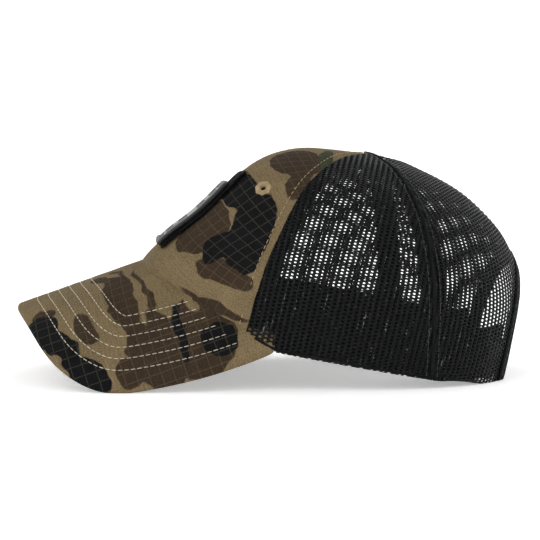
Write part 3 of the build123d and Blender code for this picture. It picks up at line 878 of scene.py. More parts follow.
def mesh_panel(name, node, azimuth, seed, *fields):
    """Open knit with real holes: six-sided cells in staggered columns, each with its own hole."""
    gore = Gore(azimuth)
    i, j = (a.ravel() for a in np.meshgrid(np.arange(-26, 27), np.arange(-28, 62)))
    centres = np.stack((i * COLUMN, (j + 0.5 * (i % 2)) * COURSE), axis=1)
    flat, _ = on_crown(gore.rays(*centres.T))
    keep = np.all([field(flat) > -3.2 for field in fields], axis=0)
    cells = centres[keep]
    third, half = COLUMN / 3, COURSE / 2
    corners = np.array([(2 * third, 0), (third, half), (-third, half),
                        (-2 * third, 0), (-third, -half), (third, -half)])
    rim = np.stack((corners, (corners + np.roll(corners, -1, axis=0)) / 2), axis=1).reshape(-1, 2)
    angle = np.arctan2(rim[:, 1] / COURSE, rim[:, 0] / COLUMN)
    round_off = (np.abs(np.cos(angle)) ** 2.5 + np.abs(np.sin(angle)) ** 2.5) ** (-1 / 2.5)
    hole = np.stack((HOLE_U * np.cos(angle) * round_off, HOLE_V * np.sin(angle) * round_off), axis=1)
    all_rims = (cells[:, None] + rim[None]).reshape(-1, 2)
    _, first, place = np.unique(np.round(all_rims, 2), axis=0, return_index=True, return_inverse=True)
    place = place.reshape(len(cells), -1)
    shared = all_rims[first]
    uv = np.concatenate((shared, (cells[:, None] + hole[None]).reshape(-1, 2)))
    inner = len(shared) + np.arange(len(cells) * len(hole)).reshape(len(cells), -1)
    sides = len(rim)
    faces = [(place[k, c], place[k, (c + 1) % sides], inner[k, (c + 1) % sides], inner[k, c])
             for k in range(len(cells)) for c in range(sides)]
    rays = gore.rays(*uv.T)
    flat, _ = on_crown(rays)
    lift = SINK + 0.5 * wrinkle(flat, 34.0, seed) + 0.2 * wrinkle(flat, 12.0, seed + 2)
    lift = np.minimum(lift, 0.1)
    lift[:len(shared)] += CREST
    points, normals = on_crown(rays, lift)
    faces = faced_out(faces, points, normals)
    points, faces, uv = clipped(points, faces, uv, *fields)
    obj = mesh_object(name, points, faces, uv)
    thicken(obj, YARN)
    return finish_piece(obj, yarn, "crown", "black_mesh", node)


for hand, side in SIDES.items():
    mesh_panel(
        f"mesh_side_{hand}", f"mesh_side_panel_{hand}", side * SIDE_AZIMUTH, 20 + side,
        lambda p: past_front_seam(p, side),
        lambda p: before_side_seam(p, side),
        above_hem,
    )
    mesh_panel(
        f"mesh_back_{hand}", f"mesh_back_panel_{hand}", side * BACK_AZIMUTH, 30 + side,
        lambda p: past_middle(p, side),
        lambda p: -before_side_seam(p, side),
        above_hem,
        lambda p: outside_arch(p, 0.3),
    )


# ---- edges, found along each azimuth --------------------------------------------------------------
def edge_rays(azimuths, field, low=-42.0, high=60.0, lift=0.0):
    """Rays at which the field turns positive, going up the crown at each azimuth."""
    below, above = np.full(len(azimuths), radians(low)), np.full(len(azimuths), radians(high))
    for _ in range(26):
        middle = (below + above) / 2
        points, _ = on_crown(aim(azimuths, middle), lift)
        inside = (field(points) > 0) & meets_crown(points)
        above = np.where(inside, middle, above)
        below = np.where(inside, below, middle)
    return above


def hem_roll(name, azimuths):
    """Folded bottom edge of the mesh."""
    edge = edge_rays(azimuths, above_hem) + EDGE_MARGIN
    path, normals = on_crown(aim(azimuths, edge), -0.55)
    path, normals = resampled(path + HEM_UP * 0.75, 1.5, normals)
    swell = 1 + 0.12 * wrinkle(path, 4.0, 9)
    obj = tube_object(name, path, normals, 1.5, 1.2, ridge=swell)
    return finish_piece(obj, twill, "crown", "black_cloth")


for hand, side in SIDES.items():
    hem_roll(f"mesh_hem_{hand}", side * np.radians(np.arange(*HEM_ROLL_SPAN, 1.0)))

# ---- sweatband -----------------------------------------------------------------------------------
BAND_SEAT = VISOR_R - 2 * 0.8 - 2.0 - 3 * 0.05
BAND_REAR = radians(155)
BAND_MIDDLE = -2.9                         # the band's middle layer, from the crown's outer face


def band_bottom(points):
    return above_hem(points, BAND_SEAT)


def band_top(points):
    return above_hem(points, BAND_SEAT, BAND_HEIGHT, BAND_FRONT_LIFT)


def sweatband():
    azimuths = np.linspace(-BAND_REAR, BAND_REAR, 311)
    bottom = edge_rays(azimuths, band_bottom, lift=BAND_MIDDLE) + EDGE_MARGIN
    top = edge_rays(azimuths, band_top, high=75.0, lift=BAND_MIDDLE)
    rows = 22
    share = np.linspace(0, 1, rows)
    elevation = bottom[None] + (top - bottom)[None] * share[:, None]
    azimuth = np.broadcast_to(azimuths, elevation.shape)
    rays = aim(azimuth, elevation)
    flat, _ = on_crown(rays, BAND_MIDDLE)
    behind = (to_hem(flat)[..., 1] > 60) & (np.abs(flat[..., 0]) < 56)
    tuck = np.where(behind, np.clip((56 - np.abs(flat[..., 0])) / 5, 0, 1), 0.0)
    edges = np.exp(-(share / 0.06) ** 2) + np.exp(-((1 - share) / 0.06) ** 2)
    soft = 0.22 * wrinkle(flat.reshape(-1, 3), 16.0, 41).reshape(flat.shape[:2])
    outer = -2.15 - 0.2 * edges[:, None] - 1.35 * tuck
    inner = -3.75 + 0.5 * edges[:, None] - 0.75 * tuck - soft * (1 - edges[:, None])
    out_points, _ = on_crown(rays, outer)
    in_points, _ = on_crown(rays, inner)
    ring = np.concatenate((out_points, in_points[::-1]))
    columns = len(azimuths)
    points = ring.reshape(-1, 3)
    faces = grid_faces(2 * rows, columns, closed=True)
    for c in (0, columns - 1):
        for r in range(rows - 1):
            quad = (r * columns + c, (r + 1) * columns + c,
                    (2 * rows - 2 - r) * columns + c, (2 * rows - 1 - r) * columns + c)
            faces.append(quad if c else tuple(reversed(quad)))
    uv = np.stack((np.tile(azimuths * 80, 2 * rows), np.repeat(np.arange(2 * rows) * 1.5, columns)), axis=1)
    obj = mesh_object("sweatband_cloth", points, faces, uv)
    return finish_piece(obj, twill, "crown", "black_cloth", "sweatband")


band = sweatband()


# ---- binding of the rear arch --------------------------------------------------------------------
def rear_crown(across, height, lift):
    """Points on the rear of the crown at given places across and above the hem."""
    back = np.full(across.shape, 110.0)
    for _ in range(6):
        floor = (back * sin(HEM_TILT) - HEM_ORIGIN[2]) / cos(HEM_TILT) + 0.25
        local = np.stack((across, back, np.maximum(height, floor)), axis=-1)
        points, normals = on_crown(from_hem(local) - EYE, lift)
        back = to_hem(points)[..., 1]
    return points, normals


def arch_binding():
    rise = np.linspace(0.4, ARCH_SHOULDER, 24)[:-1]
    turn = np.linspace(0, pi, 110)
    edge = np.concatenate((
        np.stack((np.full(len(rise), ARCH_HALF), rise), axis=1),
        np.stack((ARCH_HALF * np.cos(turn), ARCH_SHOULDER + ARCH_RISE * np.sin(turn)), axis=1),
        np.stack((np.full(len(rise), -ARCH_HALF), rise[::-1]), axis=1),
    ))
    edge = resampled(edge, 1.5)
    run = np.gradient(edge, axis=0)
    away = unit(np.stack((run[:, 1], -run[:, 0]), axis=1))
    section = [(5.9, -0.1), (5.6, 0.42), (4.4, 0.5), (3.2, 0.3), (1.8, 0.5), (0.4, 0.55), (-0.6, 0.25),
               (-0.95, -0.6), (-0.7, -1.5), (0.2, -2.0), (2.0, -2.02), (4.4, -2.0), (5.9, -1.7),
               (5.9, -1.25), (0.3, -1.2), (0.3, -0.1)]
    ring = []
    for reach, lift in section:
        spot = edge + away * reach
        wave = 0.12 * wrinkle(np.stack((spot[:, 0], spot[:, 1], np.full(len(spot), reach)), axis=1), 4.0, 51)
        ripple = min(max(lift, 0), 0.3) * wave * 3
        points, _ = rear_crown(spot[:, 0], np.maximum(spot[:, 1], 0.3), lift + ripple)
        ring.append(points)
    ring = np.array(ring)
    faces = [tuple(reversed(f)) for f in grid_faces(len(section), len(edge), closed=True)]
    ends = np.arange(len(section)) * len(edge)
    faces += [tuple(ends), tuple((ends + len(edge) - 1)[::-1])]
    uv = np.stack((np.tile(path_lengths(edge), len(section)),
                   np.repeat(np.arange(len(section)), len(edge))), axis=1)
    obj = mesh_object("arch_binding_tape", ring.reshape(-1, 3), faces, uv)
    tape = finish_piece(obj, tape_cloth, "crown", "black_cloth", "rear_arch_binding")
    spot = (edge + away * 3.2)[edge[:, 1] > 5]
    path, normals = rear_crown(spot[:, 0], spot[:, 1], 0.32)
    row = stitch_rows("arch_topstitch", [(path, normals)], *ARCH_STITCH)
    finish_piece(row, black_thread, "crown", "black_cloth")
    return tape


binding = arch_binding()

# ---- visor ---------------------------------------------------------------------------------------
STITCH_INSETS = [11.6 + 6.1 * k for k in range(6)]


def rolled(flat, depth):
    """Flat-pattern points rolled onto the visor's cylinder, `depth` below its top face."""
    flat = np.asarray(flat, float)
    turn = (flat[..., 0] / VISOR_R)[..., None]
    out = np.sin(turn) * HEM_X + np.cos(turn) * RIDGE_UP
    points = VISOR_AXIS + out * (VISOR_R - np.asarray(depth, float)[..., None]) + flat[..., 1:2] * RIDGE
    return points, out


def unrolled(points):
    offset = np.asarray(points) - VISOR_AXIS
    return np.stack((np.arctan2(offset @ HEM_X, offset @ RIDGE_UP) * VISOR_R, offset @ RIDGE), axis=-1)


def visor_outline():
    """Edge of the visor's top face in the flat pattern: (join to the crown, free edge), right to left."""
    shape = bmesh.new()
    shape.from_mesh(NODES["visor_top_cover"].data)
    bmesh.ops.remove_doubles(shape, verts=shape.verts, dist=2e-5)
    top = [f for f in shape.faces
           if all(abs(r - VISOR_R) < 0.06 for r in off_axis([np.array(v.co) / MM for v in f.verts]))]
    held = set(top)
    links = {}
    for face in top:
        for edge in face.edges:
            if sum(f in held for f in edge.link_faces) == 1:
                a, b = (v.index for v in edge.verts)
                links.setdefault(a, []).append(b)
                links.setdefault(b, []).append(a)
    shape.verts.ensure_lookup_table()
    loop, last = [max(links, key=lambda k: len(links[k]))], None
    while True:
        ahead = [k for k in links[loop[-1]] if k != last]
        if not ahead or ahead[0] == loop[0]:
            break
        last = loop[-1]
        loop.append(ahead[0])
    points = np.array([shape.verts[k].co / MM for k in loop])
    shape.free()
    inner = (crown_depth(points) < 0.6) & (points[:, 1] < -2.2)
    start = np.flatnonzero(inner & ~np.roll(inner, 1))[0]
    points, inner = np.roll(points, -start, axis=0), np.roll(inner, -start)
    parts = [unrolled(points[inner]), unrolled(points[~inner])]
    return [part if part[0, 0] < part[-1, 0] else part[::-1] for part in parts]


join_line, free_edge = visor_outline()
COLUMNS, ROWS = 260, 74
EDGE_RADIUS = VISOR_THICK / 2


def even(path, count):
    along = path_lengths(path)
    at = np.linspace(0, along[-1], count)
    return np.stack([np.interp(at, along, column) for column in path.T], axis=1)


def eased(path, rounds=3):
    """The path with its small corners taken off."""
    for _ in range(rounds):
        path[1:-1] = (path[:-2] + 2 * path[1:-1] + path[2:]) / 4
    return path


outer_line = eased(even(free_edge, COLUMNS))
inner_line = eased(even(join_line, COLUMNS))
run = np.gradient(outer_line, axis=0)
outward = unit(np.stack((-run[:, 1], run[:, 0]), axis=1))
if outward[COLUMNS // 2, 1] < 0:
    outward = -outward
rim_line = outer_line - outward * EDGE_RADIUS
inner_line = inner_line + np.array((0.0, -1.2))


def edge_distance(flat):
    """Distance of flat-pattern points from the visor's free edge."""
    shape = flat.shape[:-1]
    points = flat.reshape(-1, 2)
    nearest = np.full(len(points), 1e9)
    for a, b in zip(outer_line[:-1], outer_line[1:]):
        span = b - a
        t = np.clip(((points - a) @ span) / (span @ span), 0, 1)
        nearest = np.minimum(nearest, np.linalg.norm(points - a - t[:, None] * span, axis=1))
    return nearest.reshape(shape)


def quilting(flat):
    """How deep the stitch rows pull the cloth in."""
    inset = edge_distance(flat)
    groove = sum(np.exp(-((inset - row) / 0.85) ** 2) for row in STITCH_INSETS)
    return 0.32 * groove


def visor_cover():
    share = np.linspace(0, 1, ROWS)[:, None, None]
    flat = inner_line * (1 - share) + rim_line * share
    slack = wrinkle(np.concatenate((flat, flat[..., :1] * 0), axis=-1).reshape(-1, 3), 9.0, 61)
    slack = slack.reshape(flat.shape[:2])
    depth = quilting(flat) - 0.12 * slack
    bend = np.linspace(0, pi, 10)[1:]
    rim = rim_line + outward * EDGE_RADIUS * np.sin(bend)[:, None, None]
    rim_depth = EDGE_RADIUS * (1 - np.cos(bend))[:, None] * np.ones(COLUMNS)
    back = rim_line - outward * 1.6
    flat = np.concatenate((flat, rim, back[None]))
    depth = np.concatenate((depth, rim_depth, np.full((1, COLUMNS), VISOR_THICK + 0.02)))
    points, out = rolled(flat, depth)
    faces = faced_out(grid_faces(len(flat), COLUMNS), points.reshape(-1, 3), out.reshape(-1, 3))
    obj = mesh_object("visor_cloth_top", points.reshape(-1, 3), faces, flat.reshape(-1, 2))
    thicken(obj, 0.6)
    return finish_piece(obj, camo_visor, "crown", "camo_cloth", "visor_top_cover")


def visor_lining():
    share = np.linspace(0, 1, ROWS)[:, None, None]
    start = rim_line - outward * 0.3
    flat = inner_line * (1 - share) + start * share
    depth = VISOR_THICK + 0.05 - quilting(flat)
    points, out = rolled(flat, depth)
    faces = faced_out(grid_faces(ROWS, COLUMNS), points.reshape(-1, 3), -out.reshape(-1, 3))
    obj = mesh_object("visor_cloth_under", points.reshape(-1, 3), faces, flat.reshape(-1, 2))
    thicken(obj, 0.5)
    return finish_piece(obj, camo_under, "crown", "camo_cloth", "visor_bottom_cover")


top_cloth, under_cloth = visor_cover(), visor_lining()


def visor_row(inset, depth, facing):
    """Stitch path at one inset from the edge, trimmed where it meets the crown."""
    flat = eased(even(outer_line - outward * inset, 400), 6)
    points, out = rolled(flat, np.full(len(flat), depth))
    keep = (crown_depth(points) > 1.0) & (edge_distance(flat) > inset - 0.6)
    keep &= np.abs(flat[:, 0]) < 99
    points, out = points[keep], out[keep]
    return resampled(points, 1.5, out * facing)


for name, depth, facing in (("top", 0.12, 1), ("under", VISOR_THICK - 0.2, -1)):
    rows = [visor_row(inset, depth, facing) for inset in STITCH_INSETS]
    stitches = stitch_rows(f"visor_stitches_{name}", rows, *VISOR_STITCH)
    finish_piece(stitches, pale_thread, "crown", "tan_thread")

# ---- loop field and patch ------------------------------------------------------------------------
FACE_Z = from_hem((0, -cos(FRONT_SLOPE), sin(FRONT_SLOPE))) - HEM_ORIGIN
FACE_Y = np.cross(FACE_Z, HEM_X)
FACE_CENTRE = from_hem(FRONT_FACE)
PATCH_CENTRE = FACE_CENTRE - FACE_Y * PATCH_DROP
BARS = [(0.0, 11.0, 46.0, 3.4), (0.0, 0.0, 58.0, 7.0), (0.0, -11.0, 34.0, 3.4)]  # x, y, width, height
FRAME_INSET, FRAME_WIDTH = 3.4, 1.0
LOOP_BASE, HOOK_BASE, HOOK_TOP = 0.15, 1.4, 2.45    # heights above the crown
FACE_BASE, FACE_TOP, RIM_MIDDLE = 2.55, 3.45, 3.25


def on_front(centre, across, up, lift, flat_half=30.0):
    """Places on the front face; beyond its flat middle they run on straight."""
    held = np.clip(across, -flat_half, flat_half)
    spots = centre + held[..., None] * HEM_X + up[..., None] * FACE_Y
    rays = spots - EYE
    for _ in range(3):
        points, _ = on_crown(rays)
        miss = points - spots
        miss -= (miss @ FACE_Z)[..., None] * FACE_Z
        rays = points - miss - EYE
    points, normals = on_crown(rays, lift)
    return points + (across - held)[..., None] * HEM_X, normals


def rounded(width, height, radius, spacing):
    """Closed rounded rectangle, as evenly spaced points."""
    corners = [(width / 2 - radius, height / 2 - radius, 0), (radius - width / 2, height / 2 - radius, 90),
               (radius - width / 2, radius - height / 2, 180), (width / 2 - radius, radius - height / 2, 270)]
    outline = []
    for x, y, start in corners:
        turn = np.radians(np.linspace(start, start + 90, 9))
        outline.append(np.stack((x + radius * np.cos(turn), y + radius * np.sin(turn)), axis=1))
    outline = np.concatenate(outline)
    outline = np.concatenate((outline, outline[:1]))
    return resampled(outline, spacing)[:-1]


def rounded_depth(x, y, width, height, radius):
    """Distance inside a rounded rectangle."""
    out_x = np.maximum(np.abs(x) - width / 2 + radius, 0)
    out_y = np.maximum(np.abs(y) - height / 2 + radius, 0)
    inner = np.minimum(width / 2 - np.abs(x), height / 2 - np.abs(y))
    corner = radius - np.hypot(out_x, out_y)
    return np.where((out_x > 0) & (out_y > 0), corner, inner)


def front_sheet(name, centre, width, height, radius, step, relief, bottom):
    """Closed sheet laid on the front face; relief(x, y, depth) is the height of its top."""
    xs = np.linspace(-width / 2, width / 2, int(width / step) + 1)
    ys = np.linspace(-height / 2, height / 2, int(height / step) + 1)
    x, y = np.meshgrid(xs, ys)
    depth = rounded_depth(x, y, width, height, radius)
    pull = np.maximum(-depth, 0)
    scale = 1 - pull / np.maximum(np.hypot(x, y), 1)
    x, y = x * scale, y * scale
    depth = np.maximum(depth, 0)
    top, _ = on_front(centre, x, y, relief(x, y, depth))
    base, _ = on_front(centre, x, y, np.full(x.shape, bottom))
    rows, columns = x.shape
    count = rows * columns
    points = np.concatenate((top.reshape(-1, 3), base.reshape(-1, 3)))
    upper = grid_faces(rows, columns)
    faces = upper + [tuple(i + count for i in reversed(f)) for f in upper]
    border = (list(range(columns)) + [r * columns + columns - 1 for r in range(1, rows)]
              + [count - 1 - c for c in range(1, columns)] + [r * columns for r in range(rows - 2, 0, -1)])
    for a, b in zip(border, border[1:] + border[:1]):
        faces.append((b, a, a + count, b + count))
    uv = np.stack((x.ravel(), y.ravel()), axis=1)
    return mesh_object(name, points, faces, np.concatenate((uv, uv)))


def loop_relief(x, y, depth):
    places = np.stack((x, y, x * 0), axis=-1).reshape(-1, 3)
    fuzz = 0.1 * wrinkle(places, 1.4, 71) + 0.1 * wrinkle(places, 5.0, 72)
    return 0.4 + 0.7 * np.clip(depth / 1.2, 0, 1) ** 0.5 + fuzz.reshape(x.shape)


def bar_share(x, y):
    """1 on the raised bars and the frame line of the patch, 0 off them."""
    share = np.zeros(x.shape)
    for bar_x, bar_y, width, height in BARS:
        inside = np.minimum(width / 2 - np.abs(x - bar_x), height / 2 - np.abs(y - bar_y))
        share = np.maximum(share, np.clip(inside / 0.5 + 0.5, 0, 1))
    return share


def face_relief(x, y, depth):
    return FACE_TOP + 0.3 * bar_share(x, y)


def patch_print():
    """Black patch cloth; its plain bars and frame line are worked in pale thread."""
    shade = Shade("patch_print", 0.75, Sheen_Weight=0.15)
    place = shade.cloth()
    parts = shade.split(place)
    mask = None
    for bar_x, bar_y, width, height in BARS:
        away_x = shade.math("ABSOLUTE", shade.math("SUBTRACT", parts[0], bar_x))
        away_y = shade.math("ABSOLUTE", shade.math("SUBTRACT", parts[1], bar_y))
        inside = shade.math("MINIMUM", shade.math("SUBTRACT", width / 2, away_x),
                            shade.math("SUBTRACT", height / 2, away_y))
        mask = inside if mask is None else shade.math("MAXIMUM", mask, inside)
    mask = shade.ramp(mask, -0.1, 0.15)
    away_x = shade.math("SUBTRACT", PATCH_W / 2 - RIM_W, shade.math("ABSOLUTE", parts[0]))
    away_y = shade.math("SUBTRACT", PATCH_H / 2 - RIM_W, shade.math("ABSOLUTE", parts[1]))
    inset = shade.math("MINIMUM", away_x, away_y)
    line = shade.math("ABSOLUTE", shade.math("SUBTRACT", inset, FRAME_INSET))
    mask = shade.math("MAXIMUM", mask, shade.ramp(line, FRAME_WIDTH / 2, FRAME_WIDTH / 2 + 0.2, 1.0, 0.0))
    satin = shade.noise(place, 0.5, 2.0, stretch=(2.0, 0.25, 1))
    threads = weave(shade, place, 0.8)
    pale = shade.tinted(srgb(150, 151, 148), shade.ramp(satin, 0.3, 0.7, 0.72, 1.08))
    dark = shade.tinted(srgb(27, 28, 31), shade.ramp(shade.noise(place, 0.7, 2.0), 0.3, 0.7, 0.6, 1.4))
    height = shade.math("ADD", threads, satin)
    return shade.finish(shade.mix(mask, dark, pale), height, 0.12, 0.7)


loop = front_sheet("loop_pile", FACE_CENTRE, LOOP_W, LOOP_H, 5, 1.0, loop_relief, LOOP_BASE)
finish_piece(loop, pile, "crown", "loop_tape", "loop_field")
hooks = front_sheet("patch_hooks", PATCH_CENTRE, PATCH_W - 1, PATCH_H - 1, 4, 1.6,
                    lambda x, y, depth: np.full(x.shape, HOOK_TOP), HOOK_BASE)
finish_piece(hooks, hook, "patch", "hook_tape", "patch_hook_backing")
face = front_sheet("patch_front", PATCH_CENTRE, PATCH_W - 2 * RIM_W + 0.6, PATCH_H - 2 * RIM_W + 0.6, 2.5,
                   0.7, face_relief, FACE_BASE)
finish_piece(face, patch_print(), "patch", "patch_cloth", "patch_face")


def merrowed_edge():
    """Overlocked rim: a rope whose threads wrap over the edge."""
    outline = rounded(PATCH_W - RIM_W, PATCH_H - RIM_W, 4 - RIM_W / 2, 0.26)
    path, normals = on_front(PATCH_CENTRE, outline[:, 0], outline[:, 1], RIM_MIDDLE)
    wraps = np.arange(len(path)) * 0.26 / 1.05
    ridge = 1 + 0.07 * np.abs(np.sin(pi * wraps)) + 0.03 * wrinkle(path, 3.0, 81)
    points, faces = tube(path, normals, RIM_W - 0.05, 1.6, sides=12, closed=True, ridge=ridge)
    rim = mesh_object("patch_merrow", points, faces)
    return finish_piece(rim, black_thread, "patch", "patch_thread", "patch_border")


merrowed_edge()

# ---- eyelets -------------------------------------------------------------------------------------
EYELET_RADIUS, EYELET_BORE, EYELET_THREADS = 4.35, 1.35, 46


def eyelet(hand):
    """Sewn eyelet: thread wound over a ring, flat outside and steep at its bore."""
    centre, normal, _ = eyelet_spots[hand]
    first = unit(np.cross(normal, HEM_UP))
    second = np.cross(normal, first)
    around, across = EYELET_THREADS * 6, 11
    turn = np.linspace(0, 2 * pi, around, endpoint=False)
    ridge = np.abs(np.cos(turn * EYELET_THREADS / 2))
    rows = []
    for k in range(across):
        share = k / (across - 1)
        ragged = 1 + 0.05 * np.sin(7 * turn + 1) * share + 0.03 * np.sin(23 * turn) * share
        radius = (EYELET_BORE + (EYELET_RADIUS - EYELET_BORE) * share) * ragged
        height = 0.95 * sin(pi * min(0.12 + share * 0.88, 1.0)) ** 0.6 + 0.12 * ridge
        height = height - (0.9 if share == 0 else 0.25 * (share == 1))
        spots = centre + radius[:, None] * circle(turn, first, second)
        surface, normals = on_crown(spots - EYE)
        rows.append(surface + normals * height[:, None])
    rings = np.array(rows)
    points = np.concatenate((rings.reshape(-1, 3), (rings[-1] - normal * 1.1), (rings[0] - normal * 0.6)))
    faces = []
    order = list(range(across)) + [across, across + 1]
    for a, b in zip(order, order[1:] + order[:1]):
        for c in range(around):
            d = (c + 1) % around
            faces.append((a * around + c, b * around + c, b * around + d, a * around + d))
    obj = mesh_object(f"eyelet_thread_{hand}", points, faces)
    return finish_piece(obj, tan_thread, "crown", "tan_thread", f"eyelet_{hand}")


for hand in SIDES:
    eyelet(hand)

# ---- snap strap ----------------------------------------------------------------------------------
STRAP_CENTRE, STRAP_R, STRAP_STEP, ROOT_R = 20.3, 88.0, 1.6, 88.04
STRAP_THICK, STRAP_WIDE, STRAP_BASE = 1.3, 17.0, 6.6
ROOT_ANGLE, EASE_ANGLE, TIP_ANGLE, PEG_PITCH = 23.6, 14.0, 10.1, 5.93


def strap_point(angle, height, mid, lift):
    """Place on a strap, and its outward normal; angle in degrees from the middle of the rear."""
    ease = np.clip((np.abs(angle) - EASE_ANGLE) / (ROOT_ANGLE - EASE_ANGLE), 0, 1)
    radius = mid + (ROOT_R - mid) * ease ** 2 * (3 - 2 * ease) + lift
    turn = np.radians(angle)
    local = np.stack((radius * np.sin(turn), STRAP_CENTRE + radius * np.cos(turn), height), axis=-1)
    out = np.stack((np.sin(turn), np.cos(turn), turn * 0), axis=-1)
    return from_hem(local), from_hem(out) - HEM_ORIGIN


def strap_bead(name, side, mid, body):
    """Raised rim round a strap, open at its sewn end."""
    radius, inset = 4.4, 0.6
    tip = -side * (TIP_ANGLE - np.degrees((radius + inset) / mid))
    low, high = STRAP_BASE + inset, STRAP_BASE + STRAP_WIDE - inset
    turn = np.linspace(0, pi / 2, 7)
    corner = np.degrees(radius / mid)
    straight = np.linspace(side * (ROOT_ANGLE - 1), tip, 24)
    angles = np.concatenate((straight, tip - side * corner * np.sin(turn),
                             tip - side * corner * np.cos(turn), straight[::-1]))
    heights = np.concatenate((np.full(24, low), low + radius * (1 - np.cos(turn)),
                              high - radius * (1 - np.sin(turn)), np.full(24, high)))
    path, normals = strap_point(angles, heights, mid, STRAP_THICK / 2)
    path, normals = resampled(path, 0.8, normals)
    bead = tube_object(name, path, normals, 0.9, 0.5)
    return finish_piece(bead, strap_plastic, body, "strap_plastic")


def ring_at(angle, mid, lift, radius, width, height):
    centre, out = strap_point(np.array([angle]), np.array([STRAP_BASE + STRAP_WIDE / 2]), mid, lift)
    first, second = unit(np.cross(out[0], HEM_UP)), HEM_UP
    turn = np.linspace(0, 2 * pi, 28, endpoint=False)
    path = centre + radius * circle(turn, first, second)
    return tube(path, np.repeat(out, len(turn), axis=0), width, height, closed=True)


def joined(name, parts):
    points, faces = [], []
    for part_points, part_faces in parts:
        base = len(points)
        points += list(part_points)
        faces += [tuple(i + base for i in f) for f in part_faces]
    return mesh_object(name, points, faces)


def peg_head(angle):
    """Domed head of a peg."""
    mid = STRAP_R - STRAP_STEP
    centre, out = strap_point(np.array([angle]), np.array([STRAP_BASE + STRAP_WIDE / 2]), mid, 1.85)
    first, second, sides = unit(np.cross(out[0], HEM_UP)), HEM_UP, 20
    turn = np.linspace(0, 2 * pi, sides, endpoint=False)
    points, faces = [centre[0] + out[0] * 0.75], []
    profile = [(0.8, 0.68), (1.35, 0.45), (1.62, 0.15), (1.62, -0.05), (1.35, -0.2)]
    for radius, height in profile:
        points += list(centre[0] + out[0] * height + radius * circle(turn, first, second))
    for c in range(sides):
        d = (c + 1) % sides
        faces.append((0, 1 + c, 1 + d))
        for k in range(len(profile) - 1):
            here = 1 + k * sides
            faces.append((here + c, here + sides + c, here + sides + d, here + d))
    faces.append(tuple(range(len(points) - 1, len(points) - 1 - sides, -1)))
    return points, faces


strap_bead("strap_rim_holes", LEFT, STRAP_R, "outer_strap")
strap_bead("strap_rim_pegs", RIGHT, STRAP_R - STRAP_STEP - 0.12, "inner_strap")
rings = joined("strap_hole_rims", [
    ring_at(step * PEG_PITCH, STRAP_R, STRAP_THICK / 2, 2.7, 0.6, 0.5) for step in range(-1, 4)])
finish_piece(rings, strap_plastic, "outer_strap", "strap_plastic")
heads = joined("strap_peg_heads", [peg_head(step * PEG_PITCH) for step in range(-3, 2)])
finish_piece(heads, strap_plastic, "inner_strap", "strap_plastic")

# ---- materials of the CAD nodes that stay --------------------------------------------------------
KEPT = {
    "seam_tape": tape_cloth, "crown_apex_tack": tack_cloth, "visor_board": board_plastic,
    "snap_strap": strap_plastic, "strap_anchor": strap_plastic,
}
for name, node in NODES.items():
    for start, material in KEPT.items():
        if name.startswith(start):
            node.data.materials.clear()
            node.data.materials.append(material)

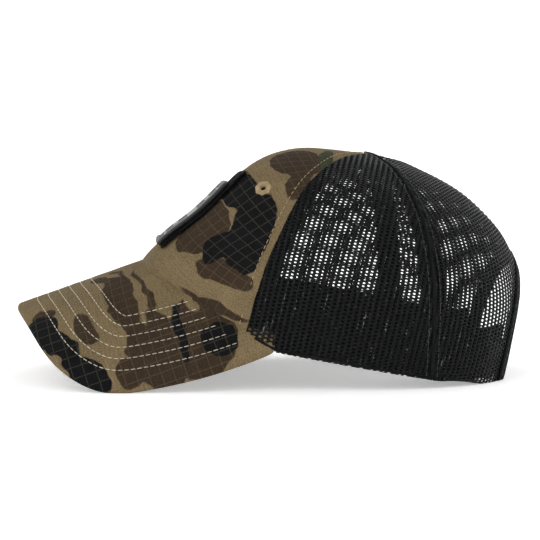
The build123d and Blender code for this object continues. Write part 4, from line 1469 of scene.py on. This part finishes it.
# ---- floor, light and camera ---------------------------------------------------------------------
def stage():
    """Pale floor that curves up into a backdrop on every side."""
    rows, sides = 34, 96
    reach = np.concatenate((np.linspace(0, 1500, 8), 1500 + 900 * np.sin(np.linspace(0.1, pi / 2, 16)),
                            np.full(10, 2400)))
    height = np.concatenate((np.zeros(8), 900 * (1 - np.cos(np.linspace(0.1, pi / 2, 16))),
                             np.linspace(1000, 4000, 10)))
    turn = np.linspace(0, 2 * pi, sides, endpoint=False)
    ring = [np.stack((r * np.cos(turn), r * np.sin(turn), np.full(sides, h - 0.05)), axis=1)
            for r, h in zip(reach[1:], height[1:])]
    points = np.concatenate([[(0, 0, -0.05)]] + ring)
    faces = [(0, 1 + c, 1 + (c + 1) % sides) for c in range(sides)]
    for r in range(rows - 2):
        for c in range(sides):
            d, here = (c + 1) % sides, 1 + r * sides
            faces.append((here + c, here + sides + c, here + sides + d, here + d))
    floor = mesh_object("studio_floor", points, faces)
    shade = Shade("studio_paper", 0.9)
    grain = shade.noise(shade.solid(), 60.0, 2.0)
    shade.finish(shade.tinted(srgb(250, 250, 250), shade.ramp(grain, 0.3, 0.7, 0.99, 1.0)))
    shade.shader.inputs["Emission Color"].default_value = (1, 1, 1, 1)
    shade.shader.inputs["Emission Strength"].default_value = 0.36
    floor.data.materials.append(shade.material)


def light(name, place, size, watts, target=(0.0, 0.0, 0.06)):
    data = bpy.data.lights.new(name, "AREA")
    data.shape, data.size, data.energy = "DISK", size, watts
    lamp = bpy.data.objects.new(name, data)
    lamp.location = place
    lamp.rotation_euler = (Vector(target) - Vector(place)).to_track_quat("-Z", "Y").to_euler()
    bpy.context.scene.collection.objects.link(lamp)


stage()
light("key", (1.0, -0.55, 1.35), 0.8, 1.9)
light("fill", (1.2, 1.1, 0.6), 1.0, 0.6)
light("top", (-0.3, 0.1, 1.7), 1.2, 1.2)
world = bpy.data.worlds.new("studio")
world.use_nodes = True
world.node_tree.nodes["Background"].inputs[0].default_value = (1, 1, 1, 1)
world.node_tree.nodes["Background"].inputs[1].default_value = 0.17
bpy.context.scene.world = world
bpy.context.scene.view_settings.view_transform = "Standard"

CAMERA_AZIMUTH, CAMERA_ELEVATION, CAMERA_DISTANCE = radians(86), radians(3.5), 750.0
CAMERA_TARGET, CAMERA_LENS = np.array((0.0, 0.67, 56.5)), 90.9
back = np.array((sin(CAMERA_AZIMUTH) * cos(CAMERA_ELEVATION), -cos(CAMERA_AZIMUTH) * cos(CAMERA_ELEVATION),
                 sin(CAMERA_ELEVATION)))
camera = bpy.data.objects.new("camera", bpy.data.cameras.new("camera"))
camera.data.lens, camera.data.sensor_width = CAMERA_LENS, 36.0
camera.data.clip_start, camera.data.clip_end = 0.01, 20.0
camera.location = Vector((CAMERA_TARGET + back * CAMERA_DISTANCE) * MM)
camera.rotation_euler = Vector(-back).to_track_quat("-Z", "Y").to_euler()
bpy.context.scene.collection.objects.link(camera)
bpy.context.scene.camera = camera

# ---- a last update of the view layer -------------------------------------------------------------
bpy.context.view_layer.update()
